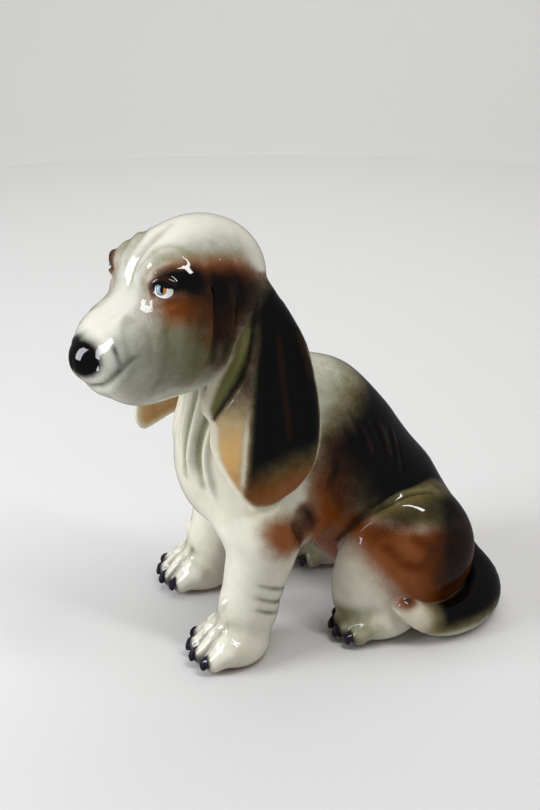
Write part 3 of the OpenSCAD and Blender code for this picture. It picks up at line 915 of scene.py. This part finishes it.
def paint_hind(put, m):
    """Ivory thigh, rust over its round, dark olive at the top and back."""
    over = (m[:, 1] - 90) * 0.8 + (m[:, 2] - 60) * 0.6
    top = ease(m[:, 2] + 0.15 * m[:, 1], 91, 103)
    put("rust", ease(over, -18, 4) * ease(m[:, 2], 6, 20) * (1 - 0.85 * top), 0.97)
    put("olive", top * ease(m[:, 1], 70, 88), 0.95)
    put("black", within(lump(m, (50, 144, 60), (26, 24, 42), tilt=-16), 24), 0.95)
    swirl = [(62, 96, 70), (66, 108, 58), (66, 118, 56), (64, 124, 66), (62, 114, 74)]
    put("black", brushed(m, swirl, 4.0), 0.45)
    put("black", brushed(m, [(58, 88, 80), (56, 106, 86), (52, 126, 88), (48, 140, 84)], 9.0), 0.75)
    put("ink", brushed(m, HAUNCH_MARKS[0][0], 1.6), 0.85)
    put("ink", brushed(m, HAUNCH_MARKS[2][0], 1.4), 0.8)
    foot = within(m[:, 2] - 27, 10) * within(m[:, 1] - 88, 22)
    put("olive", foot, 0.7)
    put("rust", foot * within(np.abs(m[:, 0] - 50) - 2, 12), 0.4)
    for i in (4, 5, 6):
        put("ink", brushed(m, HAUNCH_MARKS[i][0], 1.5), 0.6)
    for x, y in HIND_TOES:
        put("ink", within(lump(m, (x, y - 9, 6), (5.5, 7, 6)), 5), 0.85)
    put("peach", ease(m[:, 2], 4, 1), 0.5)


def paint_tail(put, p):
    """Black above, ivory beneath, brown on the tip."""
    put("olive", ease(p[:, 2], 4, 12) * ease(p[:, 1], 112, 128), 0.9)
    put("black", ease(p[:, 2], 8, 18) * ease(p[:, 1], 120, 136), 1.0)
    put("rust", within(lump(p, (68, 108, 36), (11, 12, 8)), 6), 0.9)
    put("ink", within(lump(p, (70, 110, 38), (8, 8, 7)), 5), 0.8)
    put("peach", within(lump(p, (66, 120, 14), (8, 14, 10)), 14), 0.3)


def paint_ear(put, thin, q, n, outline):
    """Black outer face, olive lap, tan front facet, rust lower end, ivory rim and lining, with painted shade
    in the slit and a painted highlight down the ridge.
    """
    v, z = q[:, 0], q[:, 1]
    rim = -edge_gap(v, z, outline)
    face = ease(n[:, 2], -0.25, 0.15)
    ridge = np.interp(z, [105, 115, 154, 197, 228], [-17, -17, -12, -7, -2])
    slit = np.array(EAR_SLIT)[::-1]
    lap = ease(np.interp(z, slit[:, 1], slit[:, 0]) - v, -0.4, 0.8) * ease(z, 160, 166)
    front = ease(ridge - v, -5, 6)
    low = 1 - ease(z - 0.1 * v, 112, 146)
    cover = face * np.maximum(ease(rim, 1.4, 4.5), ease(z, 190, 206))
    # painted highlight: a pale line down the front ridge, where the glaze catches the light, made by thinning
    # the colours there
    painted_ridge_highlight = np.exp(-((ridge - v - 1.5) / 2.0) ** 2) * within(z - 168, 30) * ease(z, 112, 130) * (1 - lap)
    put("olive", cover * lap, 0.95)
    put("peach", cover * front * (1 - lap) * (1 - ease(z, 142, 188)), 0.8)
    put("olive", cover * front * (1 - lap), 0.55)
    put("rust", cover * np.maximum(low, 0.5 * front * (1 - lap) * (1 - ease(z, 112, 132))), 0.85)
    put("olive", cover * low * (1 - front), 0.5)
    put("olive", cover * (1 - front) * ease(z - 0.2 * v, 104, 122), 0.9)
    put("black", cover * (1 - front) * ease(z - 0.25 * v, 112, 140), 1.0)
    put("black", cover * front * (1 - lap) * ease(z, 158, 196), 0.92)
    # the painted highlight takes the colours off along the ridge
    for name in ("olive", "rust", "peach", "black"):
        thin(name, painted_ridge_highlight * 0.95)
    put("black", cover * ease(z, 208, 228), 0.95)
    # painted shade: ink in the slit between the lappet and the ear, where shade falls in the gap
    put("ink", face * brushed(np.stack([v, z, 0 * v], -1), [(a, b, 0) for a, b in EAR_SLIT], 1.3), 0.95)
    put("peach", (1 - face) * ease(rim, 1, 6), 0.9)
    put("rust", (1 - face) * ease(rim, 1.5, 8) * within(z - 140, 40), 0.6)


def border_width(part, points):
    """How far one piece's colours run over into the next, in mm."""
    if part.startswith("ear"):
        return 1 + 6 * ease(points[:, 2], 210, 235)
    if part.startswith("haunch") or part.startswith("hind"):
        return 1.5 + 9 * ease(points[:, 1], 118, 150)
    if part == "tail":
        return 1 + 8 * ease(-points[:, 0], -34, -6)
    return np.full(len(points), 9.0)


def sprayed(points, normals, forms, lift):
    """Cover of each pigment at each point."""
    names = list(forms)
    gaps = np.stack([forms[name] for name in names])
    nearest = gaps.min(0)
    widths = np.stack([border_width(name, points) for name in names])
    own = widths[np.argmin(gaps, 0), np.arange(len(points))]
    total = np.zeros(len(points))
    cover = {name: np.zeros(len(points)) for name in PIGMENTS}
    for i, part in enumerate(names):
        share = np.clip(1 - (gaps[i] - nearest) / np.minimum(widths[i], own), 0, 1)
        here = np.nonzero(share > 0)[0]
        p, n = points[here], normals[here]
        mine = {name: np.zeros(len(here)) for name in PIGMENTS}

        def put(name, amount, strength):
            mine[name] = 1 - (1 - mine[name]) * (1 - np.clip(amount, 0, 1) * strength)

        def thin(name, amount):
            mine[name] = mine[name] * (1 - np.clip(amount, 0, 1))

        if part == "head":
            paint_head(put, thin, in_head(p), mirrored(in_head(p)))
        elif part == "torso":
            paint_torso(put, p, mirrored(p))
        elif part.startswith("foreleg"):
            paint_foreleg(put, mirrored(p))
        elif part.startswith("haunch") or part.startswith("hind"):
            paint_hind(put, mirrored(p))
        elif part == "tail":
            paint_tail(put, p)
        else:
            left = part == "ear_left"
            q, m = ear_frame(p, n, LEFT_EAR_ROOT if left else RIGHT_EAR_ROOT, 1 if left else -1)
            paint_ear(put, thin, q, m, LEFT_EAR_EDGE if left else RIGHT_EAR_EDGE)
        total[here] += share[here]
        for name in PIGMENTS:
            cover[name][here] += share[here] * mine[name]
    for name in PIGMENTS:
        cover[name] /= total
    # black was sprayed over brown, which shows round its edges, but not on the nose
    muzzle = ease(-in_head(points)[:, 1], 74, 84)
    cover["rust"] = 1 - (1 - cover["rust"]) * (1 - 0.85 * ease(cover["black"], 0.02, 0.5) * (1 - muzzle)
                                              * (1 - cover["olive"]))
    # high in the creases, low on the ridges: the glaze darkens the creases with it (pooled glaze and painted
    # shade) and lightens dark ridges
    cover["pool"] = np.clip(0.5 - 0.5 * lift / 1.6, 0, 1)
    return cover


# ---------------------------------------------------------------- glaze
def linear(hex_colour):
    """sRGB hex to linear colour."""
    out = []
    for i in (0, 2, 4):
        c = int(hex_colour[i:i + 2], 16) / 255
        out.append(c / 12.92 if c <= 0.04045 else ((c + 0.055) / 1.055) ** 2.4)
    return tuple(out) + (1.0,)


def length(name, description, default):
    return bpy.props.FloatProperty(name=name, description=description, default=default, min=0,
                                   precision=5, unit="LENGTH")


def angle(name, description, degrees):
    return bpy.props.FloatProperty(name=name, description=description, default=math.radians(degrees),
                                   subtype="ANGLE")


def swatch(name, description, hex_colour):
    return bpy.props.FloatVectorProperty(name=name, description=description, size=4, min=0, max=1,
                                         default=linear(hex_colour), subtype="COLOR")


class HoundSizes(bpy.types.PropertyGroup):
    """Sizes of the figurine"""
    skin_step: length("Skin spacing", "Distance between neighbouring points of the skin", 0.0011)
    head_turn: angle("Head turn", "How far the head turns to the dog's left", 18)
    neck_radius: length("Neck radius", "Radius of the neck under the skull", 0.029)
    ear_lean: angle("Ear lean", "How far the ears' planes open towards the back", 5)
    ear_thickness: length("Ear thickness", "Thickness of the hanging ears", 0.0075)
    claw_length: length("Claw length", "Length of each moulded claw", 0.0058)
    claw_thickness: length("Claw thickness", "Radius of a claw where it leaves the toe", 0.0045)
    glaze_waver: length("Glaze waver", "Depth of the slow waves in the glaze", 0.00022)


class HoundColours(bpy.types.PropertyGroup):
    """Colours of the clay and of what is sprayed on it"""
    # grey is also the painted shade pressed into the folds
    grey: swatch("Grey", "Thin grey wash on the cheeks and folds", "7D7F74")
    olive: swatch("Olive", "Green brown between ivory and black", "62612F")
    peach: swatch("Peach", "Warm tan of the ears' lining", "D0A462")
    rust: swatch("Rust", "Orange brown of the flanks and thighs", "80400A")
    black: swatch("Black", "Saddle, ears and tail", "050403")
    ink: swatch("Ink", "Thin dark line work", "0A080C")
    claw: swatch("Claw", "Purple black of the claws", "1A1420")
    paint: swatch("Backdrop", "Matt paint of the floor and backdrop", "CBCAC8")
    glaze_ivory: swatch("Ivory", "Ground of the forelegs", "DCD8C6")
    glaze_saddle: swatch("Torso ground", "Ground of the torso", "D8D5C2")
    glaze_head: swatch("Head ground", "Ground of the head", "CDCBBF")
    glaze_ear: swatch("Ear ground", "Ground of the ears", "D6D0B8")
    glaze_haunch: swatch("Haunch ground", "Ground of the hind legs", "DAD5C2")
    glaze_tail: swatch("Tail ground", "Ground of the tail", "D9D3BE")


def node(tree, kind, inputs=None, **settings):
    """Adds a node with settings; inputs maps a socket to a value or to an output to link."""
    n = tree.nodes.new(kind)
    for key, value in settings.items():
        setattr(n, key, value)
    for key, value in (inputs or {}).items():
        socket = n.inputs[key]
        if isinstance(value, bpy.types.NodeSocket):
            tree.links.new(value, socket)
        else:
            socket.default_value = value
    return n


def calc(tree, operation, a, b=0.0, c=0.0, clamp=False):
    return node(tree, "ShaderNodeMath", {0: a, 1: b, 2: c}, operation=operation, use_clamp=clamp).outputs[0]


def mixed(tree, factor, a, b):
    """Colour a turning into colour b by the factor."""
    n = node(tree, "ShaderNodeMix", data_type="RGBA")
    for index, value in ((0, factor), (6, a), (7, b)):
        if isinstance(value, bpy.types.NodeSocket):
            tree.links.new(value, n.inputs[index])
        else:
            n.inputs[index].default_value = value
    return n.outputs[2]


def spot(tree, where, middle, half, soft=0.1, lean=0.0):
    """One inside an ellipsoid, nothing outside, over a soft border."""
    place = node(tree, "ShaderNodeMapping", {"Vector": where, "Location": middle, "Scale": half,
                                             "Rotation": (0, 0, math.radians(lean))}, vector_type="TEXTURE")
    size = node(tree, "ShaderNodeVectorMath", {0: place.outputs[0]}, operation="LENGTH").outputs["Value"]
    return node(tree, "ShaderNodeMapRange", {"Value": size, "From Min": 1 - soft, "From Max": 1 + soft,
                                             "To Min": 1.0, "To Max": 0.0},
                interpolation_type="SMOOTHSTEP").outputs[0]


# eye: middle in the head's axes, and the way it looks
EYE_MIDDLE = (30.6, -58.8, 247.4)
EYE_LOOK = (0.64, -0.72, 0.26)


def painted_eye(tree, where, colour, side):
    """White of the eye, ochre iris with a blue ring, and a tall pupil, under a dark lid."""
    middle = from_head(np.array(EYE_MIDDLE) * (side, 1, 1))
    out = Vector(turned(np.array(EYE_LOOK) * (side, 1, 1), 2, head_turn())).normalized()
    across = Vector((0, 0, 1)).cross(out).normalized()
    up = out.cross(across)
    turn = Matrix((across, up, out)).transposed().to_euler()
    eye = node(tree, "ShaderNodeMapping", {"Vector": where, "Location": tuple(to_frame(middle)),
                                           "Rotation": turn, "Scale": (0.001,) * 3},
               vector_type="TEXTURE").outputs[0]
    deep = 7.0
    ink = tuple(colours().ink)
    colour = mixed(tree, spot(tree, eye, (0, 0.3, 0), (6.4, 4.9, deep), 0.09, -4 * side), colour, ink)
    white = spot(tree, eye, (0.2 * side, -0.2, 0), (5.6, 4.0, deep), 0.06, -4 * side)
    inside = linear("EFF0EA")
    # (across, up), (half width, half height) in mm, soft border, lean, colour: the iris's dark rim, its
    # blue ring, its ochre side, the pupil, and the upper lid's fold, which falls to the outer corner
    for (x, y), (half_x, half_y), soft, lean, paint in (
            ((-1.1, 0.7), (3.4, 3.5), 0.06, 0, linear("1D242C")),
            ((-1.1, 0.7), (2.9, 3.0), 0.08, 0, linear("93A7B5")),
            ((0.5, 0.3), (1.6, 2.4), 0.25, 0, linear("B4752F")),
            ((-0.4, 0.7), (1.05, 2.4), 0.12, 0, ink),
            ((1.6, 5.4), (8.5, 3.9), 0.08, -14, ink)):
        shape = spot(tree, eye, (x * side, y, 0), (half_x, half_y, deep), soft, lean * side)
        inside = mixed(tree, shape, inside, paint)
    return mixed(tree, white, colour, inside)


def glaze(name, ground, eyes=False, drifted="C5C3AC"):
    """Clear gloss over sprayed underglaze colours on white earthenware: the eye reads wet-looking
    highlights that waver a little, freckled edges where colours were sprayed, darker glaze pooled
    in the creases, which is also painted shade there, and thinner glaze on the ridges, which also
    paints a faint highlight on the dark ones."""
    material = bpy.data.materials.new(name)
    material.use_nodes = True
    tree = material.node_tree
    tree.nodes.clear()
    where = node(tree, "ShaderNodeTexCoord").outputs["Object"]
    # sprayed droplets about 0.8 mm across, drifts about 9 mm, wavering of the glaze about 14 mm
    fine = node(tree, "ShaderNodeTexNoise", {"Vector": where, "Scale": 1250.0, "Detail": 1.5,
                                             "Roughness": 0.6}).outputs["Fac"]
    drift = node(tree, "ShaderNodeTexNoise", {"Vector": where, "Scale": 110.0, "Detail": 3.0,
                                              "Roughness": 0.55}).outputs["Fac"]
    grain = calc(tree, "MULTIPLY_ADD", fine, 1.5, calc(tree, "MULTIPLY_ADD", drift, 1.9, -1.7))
    pool = node(tree, "ShaderNodeAttribute", attribute_name="pool").outputs["Fac"]
    warm = node(tree, "ShaderNodeMapRange", {"Value": drift, "From Min": 0.35, "From Max": 0.65}).outputs[0]
    colour = mixed(tree, calc(tree, "MULTIPLY", warm, 0.35), ground, linear(drifted))
    # pooled glaze darkens the creases greenish, which is also painted shade
    deep = node(tree, "ShaderNodeMapRange", {"Value": pool, "From Min": 0.52, "From Max": 0.85}).outputs[0]
    colour = mixed(tree, calc(tree, "MULTIPLY", deep, 0.55), colour, linear("8E8D70"))
    for pigment in PIGMENTS:
        cover = node(tree, "ShaderNodeAttribute", attribute_name=pigment).outputs["Fac"]
        border = calc(tree, "MULTIPLY", cover, calc(tree, "SUBTRACT", 1.0, cover))
        cover = calc(tree, "MULTIPLY_ADD", border, calc(tree, "MULTIPLY", grain, 1.1), cover, clamp=True)
        colour = mixed(tree, cover, colour, tuple(getattr(colours(), pigment)))
    # glaze breaks to brown where it runs thin over dark ridges, a lighter line that is partly a painted
    # highlight
    thin = node(tree, "ShaderNodeMapRange", {"Value": pool, "From Min": 0.42, "From Max": 0.15}).outputs[0]
    dark = node(tree, "ShaderNodeAttribute", attribute_name="black").outputs["Fac"]
    colour = mixed(tree, calc(tree, "MULTIPLY", calc(tree, "MULTIPLY", thin, dark), 0.16), colour,
                   linear("5A3116"))
    # stray iron specks
    specks = node(tree, "ShaderNodeTexVoronoi", {"Vector": where, "Scale": 70.0}).outputs["Distance"]
    specks = node(tree, "ShaderNodeMapRange", {"Value": specks, "From Min": 0.02, "From Max": 0.035,
                                               "To Min": 0.5, "To Max": 0.0}).outputs[0]
    colour = mixed(tree, specks, colour, linear("4A3A22"))
    if eyes:
        for side in (1, -1):
            colour = painted_eye(tree, where, colour, side)
    waver = node(tree, "ShaderNodeTexNoise", {"Vector": where, "Scale": 70.0, "Detail": 1.0}).outputs["Fac"]
    bump = node(tree, "ShaderNodeBump", {"Strength": 1.0, "Distance": sizes().glaze_waver,
                                         "Height": calc(tree, "MULTIPLY_ADD", fine, 0.035, waver)})
    gloss = node(tree, "ShaderNodeMapRange", {"Value": drift, "From Min": 0.3, "From Max": 0.7,
                                              "To Min": 0.015, "To Max": 0.06}).outputs[0]
    shader = node(tree, "ShaderNodeBsdfPrincipled", {
        "Base Color": colour, "Roughness": 0.6, "IOR": 1.5, "Specular IOR Level": 0.0,
        "Coat Weight": 1.0, "Coat Roughness": gloss, "Coat IOR": 1.5,
        "Normal": bump.outputs[0], "Coat Normal": bump.outputs[0]})
    node(tree, "ShaderNodeOutputMaterial", {"Surface": shader.outputs[0]})
    return material


SLOTS = {"torso": "glaze_saddle", "head": "glaze_head", "ear_left": "glaze_ear", "ear_right": "glaze_ear",
         "foreleg_left": "glaze_ivory", "foreleg_right": "glaze_ivory", "hind_leg_left": "glaze_haunch",
         "hind_leg_right": "glaze_haunch", "tail": "glaze_tail"}


def as_object(name, mesh, material):
    points, normals, tris, data = mesh
    me = bpy.data.meshes.new(name)
    me.vertices.add(len(points))
    me.vertices.foreach_set("co", to_frame(points).ravel())
    me.loops.add(len(tris) * 3)
    me.loops.foreach_set("vertex_index", tris.ravel())
    me.polygons.add(len(tris))
    me.polygons.foreach_set("loop_start", np.arange(len(tris)) * 3)
    me.polygons.foreach_set("use_smooth", np.ones(len(tris), bool))
    me.update(calc_edges=True)
    for i, label in enumerate((*PIGMENTS, "pool")):
        me.attributes.new(label, "FLOAT", "POINT").data.foreach_set(
            "value", np.ascontiguousarray(data[:, 3 + i], np.float32))
    # shading normals of the uncut skin, so that the joints don't show as creases
    me.attributes.new("custom_normal", "FLOAT_VECTOR", "POINT").data.foreach_set(
        "vector", np.ascontiguousarray(normals.reshape(-1), np.float32))
    me.materials.append(material)
    ob = bpy.data.objects.new(name, me)
    bpy.context.scene.collection.objects.link(ob)
    return ob


# ---------------------------------------------------------------- stage
def area_light(name, place, target, size, size_y, power, colour="FFFFFF"):
    data = bpy.data.lights.new(name, "AREA")
    data.shape, data.size, data.size_y, data.energy = "RECTANGLE", size, size_y, power
    data.color = linear(colour)[:3]
    ob = bpy.data.objects.new(name, data)
    ob.location = place
    ob.rotation_euler = (Vector(target) - Vector(place)).to_track_quat("-Z", "Y").to_euler()
    bpy.context.scene.collection.objects.link(ob)
    return ob


# camera: place in layout mm, how far it looks down and round, lens in mm
EYE_PLACE = (650.6, -154.6, 465.0)
EYE_PITCH, EYE_ROUND = 25.0, 73.5
LENS = 53.33
# backdrop, in metres: where its curve starts, the curve's radius, and its height
COVE_START, COVE_RADIUS, COVE_TOP = 1.3, 0.9, 3.0
FLOOR_RADIUS = 9.0
# (name, right, back, up from the figure's middle in m, width, height, power in W, tint)
SHAPED_LIGHTS = (("window", -1.15, -0.3, 0.48, 0.55, 0.9, 17, "F4F7FF"),
                 ("skylight", 0.5, -0.3, 1.2, 0.14, 0.9, 8, "FFFFFF"))


def stage_camera(scene):
    """Adds the camera, and gives the level directions to its right and away from it."""
    cam = bpy.data.cameras.new("camera")
    cam.sensor_width, cam.lens = 36.0, LENS
    cam.clip_start, cam.clip_end = 0.05, 50
    pitch, around = math.radians(EYE_PITCH), math.radians(EYE_ROUND)
    ahead = Vector((-math.sin(around) * math.cos(pitch), math.cos(around) * math.cos(pitch),
                    -math.sin(pitch)))
    eye = bpy.data.objects.new("camera", cam)
    eye.location = Vector(to_frame(EYE_PLACE))
    eye.rotation_euler = ahead.to_track_quat("-Z", "Y").to_euler()
    scene.collection.objects.link(eye)
    scene.camera = eye
    return Vector((math.cos(around), math.sin(around), 0)), Vector((ahead.x, ahead.y, 0)).normalized()


def matt_paint():
    """Matt pale paint: the eye reads a soft, even ground that only takes the figure's shadow."""
    pale = bpy.data.materials.new("matt pale paint")
    pale.use_nodes = True
    shader = pale.node_tree.nodes["Principled BSDF"]
    shader.inputs["Base Color"].default_value = tuple(colours().paint)
    shader.inputs["Roughness"].default_value = 0.85
    return pale


def stage_floor(scene, right, back):
    """Flat floor with a wall that curves up out of it all round."""
    turn = math.radians
    profile = [(COVE_START, 0.0)]
    profile += [(COVE_START + COVE_RADIUS * math.sin(turn(t)), COVE_RADIUS - COVE_RADIUS * math.cos(turn(t)))
                for t in range(10, 91, 10)]
    profile += [(COVE_START + COVE_RADIUS, COVE_TOP)]
    bm = bmesh.new()
    rows = [[bm.verts.new(back * (r * math.cos(turn(t))) + right * (r * math.sin(turn(t))) + Vector((0, 0, z)))
             for r, z in profile] for t in range(0, 361, 8)]
    for one, two in zip(rows, rows[1:]):
        for i in range(len(one) - 1):
            bm.faces.new((one[i], one[i + 1], two[i + 1], two[i])).smooth = True
    bm.faces.new([bm.verts.new((FLOOR_RADIUS * math.cos(turn(t)), FLOOR_RADIUS * math.sin(turn(t)), 0))
                  for t in range(0, 360, 10)])
    me = bpy.data.meshes.new("floor")
    bm.to_mesh(me)
    bm.free()
    me.materials.append(matt_paint())
    floor = bpy.data.objects.new("floor", me)
    scene.collection.objects.link(floor)
    # the glaze mirrors only the lights and the dim room, which keeps its black deep
    floor.visible_glossy = False


def stage_light(scene, right, back):
    """A room that is pale to the eye and dim as a light, a window, a skylight and two fills."""
    world = bpy.data.worlds.new("soft room")
    world.use_nodes = True
    tree = world.node_tree
    seen = node(tree, "ShaderNodeLightPath").outputs["Is Camera Ray"]
    tree.links.new(mixed(tree, seen, linear("606164"), linear("E4E3E1")),
                   tree.nodes["Background"].inputs["Color"])
    tree.nodes["Background"].inputs["Strength"].default_value = 1.0
    scene.world = world
    scene.view_settings.view_transform = "Standard"
    mid = Vector(to_frame((0, 50, 120)))
    for name, aside, behind, up, width, height, power, tint in SHAPED_LIGHTS:
        at = mid + right * aside + back * behind + Vector((0, 0, up))
        area_light(name, at, mid, width, height, power, tint)
    # the fills don't show as shapes in the glaze
    above = mid + back * 0.3 + Vector((0, 0, 1.5))
    area_light("ceiling", above, mid, 1.6, 1.6, 13).visible_glossy = False
    wall = back * (COVE_START + COVE_RADIUS) + Vector((0, 0, 0.7))
    area_light("wall wash", back * 0.9 + Vector((0, 0, 1.7)), wall, 1.2, 1.2, 16).visible_glossy = False


class HOUND_OT_stage(bpy.types.Operator):
    """Pale floor and backdrop, soft window light and the camera"""
    bl_idname = "hound.stage"
    bl_label = "Stage and camera"

    def execute(self, context):
        right, back = stage_camera(context.scene)
        stage_floor(context.scene, right, back)
        stage_light(context.scene, right, back)
        return {"FINISHED"}


# pieces by node name, once they are modelled
MADE = {}


def place(*names):
    """Adds the modelled pieces with these node names to the scene."""
    if not MADE:
        MADE.update(modelled_pieces(1000 * sizes().skin_step * (1 if FINE else 2)))
    for name in names:
        slot = SLOTS[name]
        label = "glazed earthenware, " + slot[6:]
        material = bpy.data.materials.get(label)
        if material is None:
            material = glaze(label, tuple(getattr(colours(), slot)), eyes=slot == "glaze_head")
        ob = as_object(name + "_cast", MADE[name], material)
        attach(ob, "root")
        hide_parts(name)


class PlacesPieces:
    """What the operators for cast pieces share; nodes names the pieces"""

    def execute(self, context):
        place(*self.nodes)
        return {"FINISHED"}


class HOUND_OT_torso(PlacesPieces, bpy.types.Operator):
    """Torso with its throat folds, ribs and saddle"""
    bl_idname = "hound.torso"
    bl_label = "Torso"
    nodes = ("torso",)


class HOUND_OT_head(PlacesPieces, bpy.types.Operator):
    """Head with brow, eyes, flews and nose"""
    bl_idname = "hound.head"
    bl_label = "Head"
    nodes = ("head",)


class HOUND_OT_ears(PlacesPieces, bpy.types.Operator):
    """Both hanging ears"""
    bl_idname = "hound.ears"
    bl_label = "Ears"
    nodes = ("ear_left", "ear_right")


class HOUND_OT_forelegs(PlacesPieces, bpy.types.Operator):
    """Both forelegs with their paws"""
    bl_idname = "hound.forelegs"
    bl_label = "Forelegs"
    nodes = ("foreleg_left", "foreleg_right")


class HOUND_OT_hind_legs(PlacesPieces, bpy.types.Operator):
    """Both folded hind legs"""
    bl_idname = "hound.hind_legs"
    bl_label = "Hind legs"
    nodes = ("hind_leg_left", "hind_leg_right")


class HOUND_OT_tail(PlacesPieces, bpy.types.Operator):
    """Tail curled round the left haunch"""
    bl_idname = "hound.tail"
    bl_label = "Tail"
    nodes = ("tail",)


def claw_tree(material):
    """Node tree that sets one curved, tapering claw on each point, aimed along the point's aim attribute."""
    tree = bpy.data.node_groups.new("claws", "GeometryNodeTree")
    face = tree.interface
    face.new_socket("Geometry", in_out="INPUT", socket_type="NodeSocketGeometry")
    for label, value in (("Length", sizes().claw_length), ("Thickness", sizes().claw_thickness)):
        face.new_socket(label, in_out="INPUT", socket_type="NodeSocketFloat").default_value = value
    face.new_socket("Geometry", in_out="OUTPUT", socket_type="NodeSocketGeometry")
    given = node(tree, "NodeGroupInput").outputs
    reach = node(tree, "ShaderNodeCombineXYZ", {2: given["Length"]}).outputs[0]
    droop = node(tree, "ShaderNodeCombineXYZ", {0: calc(tree, "MULTIPLY", given["Length"], -0.55),
                                                2: calc(tree, "MULTIPLY", given["Length"], 0.45)}).outputs[0]
    line = node(tree, "GeometryNodeCurveQuadraticBezier", {
        "Resolution": 10, "Start": (0, 0, 0), "Middle": droop, "End": reach}).outputs[0]
    along_it = node(tree, "GeometryNodeSplineParameter").outputs["Factor"]
    taper = calc(tree, "POWER", calc(tree, "SUBTRACT", 1.06, along_it), 0.6)
    line = node(tree, "GeometryNodeSetCurveRadius", {"Curve": line, "Radius": taper}).outputs[0]
    round_ = node(tree, "GeometryNodeCurvePrimitiveCircle", {"Resolution": 14, "Radius": given["Thickness"]})
    swept = node(tree, "GeometryNodeCurveToMesh", {"Curve": line, "Profile Curve": round_.outputs[0],
                                                   "Scale": taper, "Fill Caps": True})
    swept = node(tree, "GeometryNodeSetShadeSmooth", {0: swept.outputs[0]}).outputs[0]
    aim = node(tree, "GeometryNodeInputNamedAttribute", {"Name": "aim"}, data_type="FLOAT_VECTOR")
    turn = node(tree, "FunctionNodeAlignRotationToVector", {"Vector": aim.outputs[0]}, axis="Z").outputs[0]
    points = node(tree, "GeometryNodeMeshToPoints", {0: given["Geometry"]}).outputs[0]
    many = node(tree, "GeometryNodeInstanceOnPoints", {"Points": points, "Instance": swept, "Rotation": turn})
    real = node(tree, "GeometryNodeRealizeInstances", {0: many.outputs[0]}).outputs[0]
    done = node(tree, "GeometryNodeSetMaterial", {"Geometry": real, "Material": material}).outputs[0]
    node(tree, "NodeGroupOutput", {0: done})
    return tree


FORE_CLAWS = [((30, -19.5, 8.5), (-0.25, -0.6, -0.75)), ((40, -24.5, 8.5), (-0.08, -0.65, -0.75)),
              ((51, -24.5, 8.5), (0.08, -0.65, -0.75)), ((61.5, -19.5, 8.5), (0.3, -0.6, -0.75))]
HIND_CLAWS = [((34, 75, 8), (-0.25, -0.6, -0.75)), ((43, 69.5, 8), (-0.08, -0.65, -0.75)),
              ((52, 69.5, 8), (0.08, -0.65, -0.75)), ((61, 75, 8), (0.3, -0.6, -0.75))]


class HOUND_OT_claws(bpy.types.Operator):
    """Dark claws moulded on the toes"""
    bl_idname = "hound.claws"
    bl_label = "Claws"

    def execute(self, context):
        material = glaze("glazed earthenware, claw black", tuple(colours().claw), drifted="3A3040")
        tree = claw_tree(material)
        for paw, claws in (("foreleg", FORE_CLAWS), ("hind_leg", HIND_CLAWS)):
            for side, sign in (("left", 1), ("right", -1)):
                me = bpy.data.meshes.new("toes")
                me.from_pydata([tuple(to_frame((x * sign, y, z))) for (x, y, z), _ in claws], [], [])
                aims = np.array([(a * sign, b, c) for _, (a, b, c) in claws], np.float32)
                me.attributes.new("aim", "FLOAT_VECTOR", "POINT").data.foreach_set("vector", aims.ravel())
                ob = bpy.data.objects.new(f"{paw}_{side}_claws", me)
                context.scene.collection.objects.link(ob)
                ob.modifiers.new("claws", "NODES").node_group = tree
                made = bpy.data.meshes.new_from_object(ob.evaluated_get(context.evaluated_depsgraph_get()))
                ob.modifiers.clear()
                ob.data = made
                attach(ob, "root")
                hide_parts(f"{paw}_{side}")
        return {"FINISHED"}


BUILDERS = (HOUND_OT_torso, HOUND_OT_head, HOUND_OT_ears, HOUND_OT_forelegs, HOUND_OT_hind_legs,
            HOUND_OT_tail, HOUND_OT_claws, HOUND_OT_stage)


class HOUND_PT_build(bpy.types.Panel):
    """Sizes, colours and one button for each step of the build"""
    bl_idname = "HOUND_PT_build"
    bl_label = "Hound Figurine"
    bl_space_type = "VIEW_3D"
    bl_region_type = "UI"
    bl_category = "Hound"

    def draw(self, context):
        for group in (sizes(), colours()):
            box = self.layout.box()
            for key in type(group).__annotations__:
                box.prop(group, key)
        for cls in BUILDERS:
            self.layout.operator(cls.bl_idname)


CLASSES = (HoundSizes, HoundColours) + BUILDERS + (HOUND_PT_build,)


def register():
    for cls in CLASSES:
        bpy.utils.register_class(cls)
    bpy.types.Scene.hound_sizes = bpy.props.PointerProperty(type=HoundSizes)
    bpy.types.Scene.hound_colours = bpy.props.PointerProperty(type=HoundColours)


def unregister():
    del bpy.types.Scene.hound_sizes, bpy.types.Scene.hound_colours
    for cls in reversed(CLASSES):
        bpy.utils.unregister_class(cls)


def main():
    register()
    for build in (bpy.ops.hound.torso, bpy.ops.hound.head, bpy.ops.hound.ears, bpy.ops.hound.forelegs,
                  bpy.ops.hound.hind_legs, bpy.ops.hound.tail, bpy.ops.hound.claws, bpy.ops.hound.stage):
        build()
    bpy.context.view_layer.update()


if __name__ == "__main__":
    main()
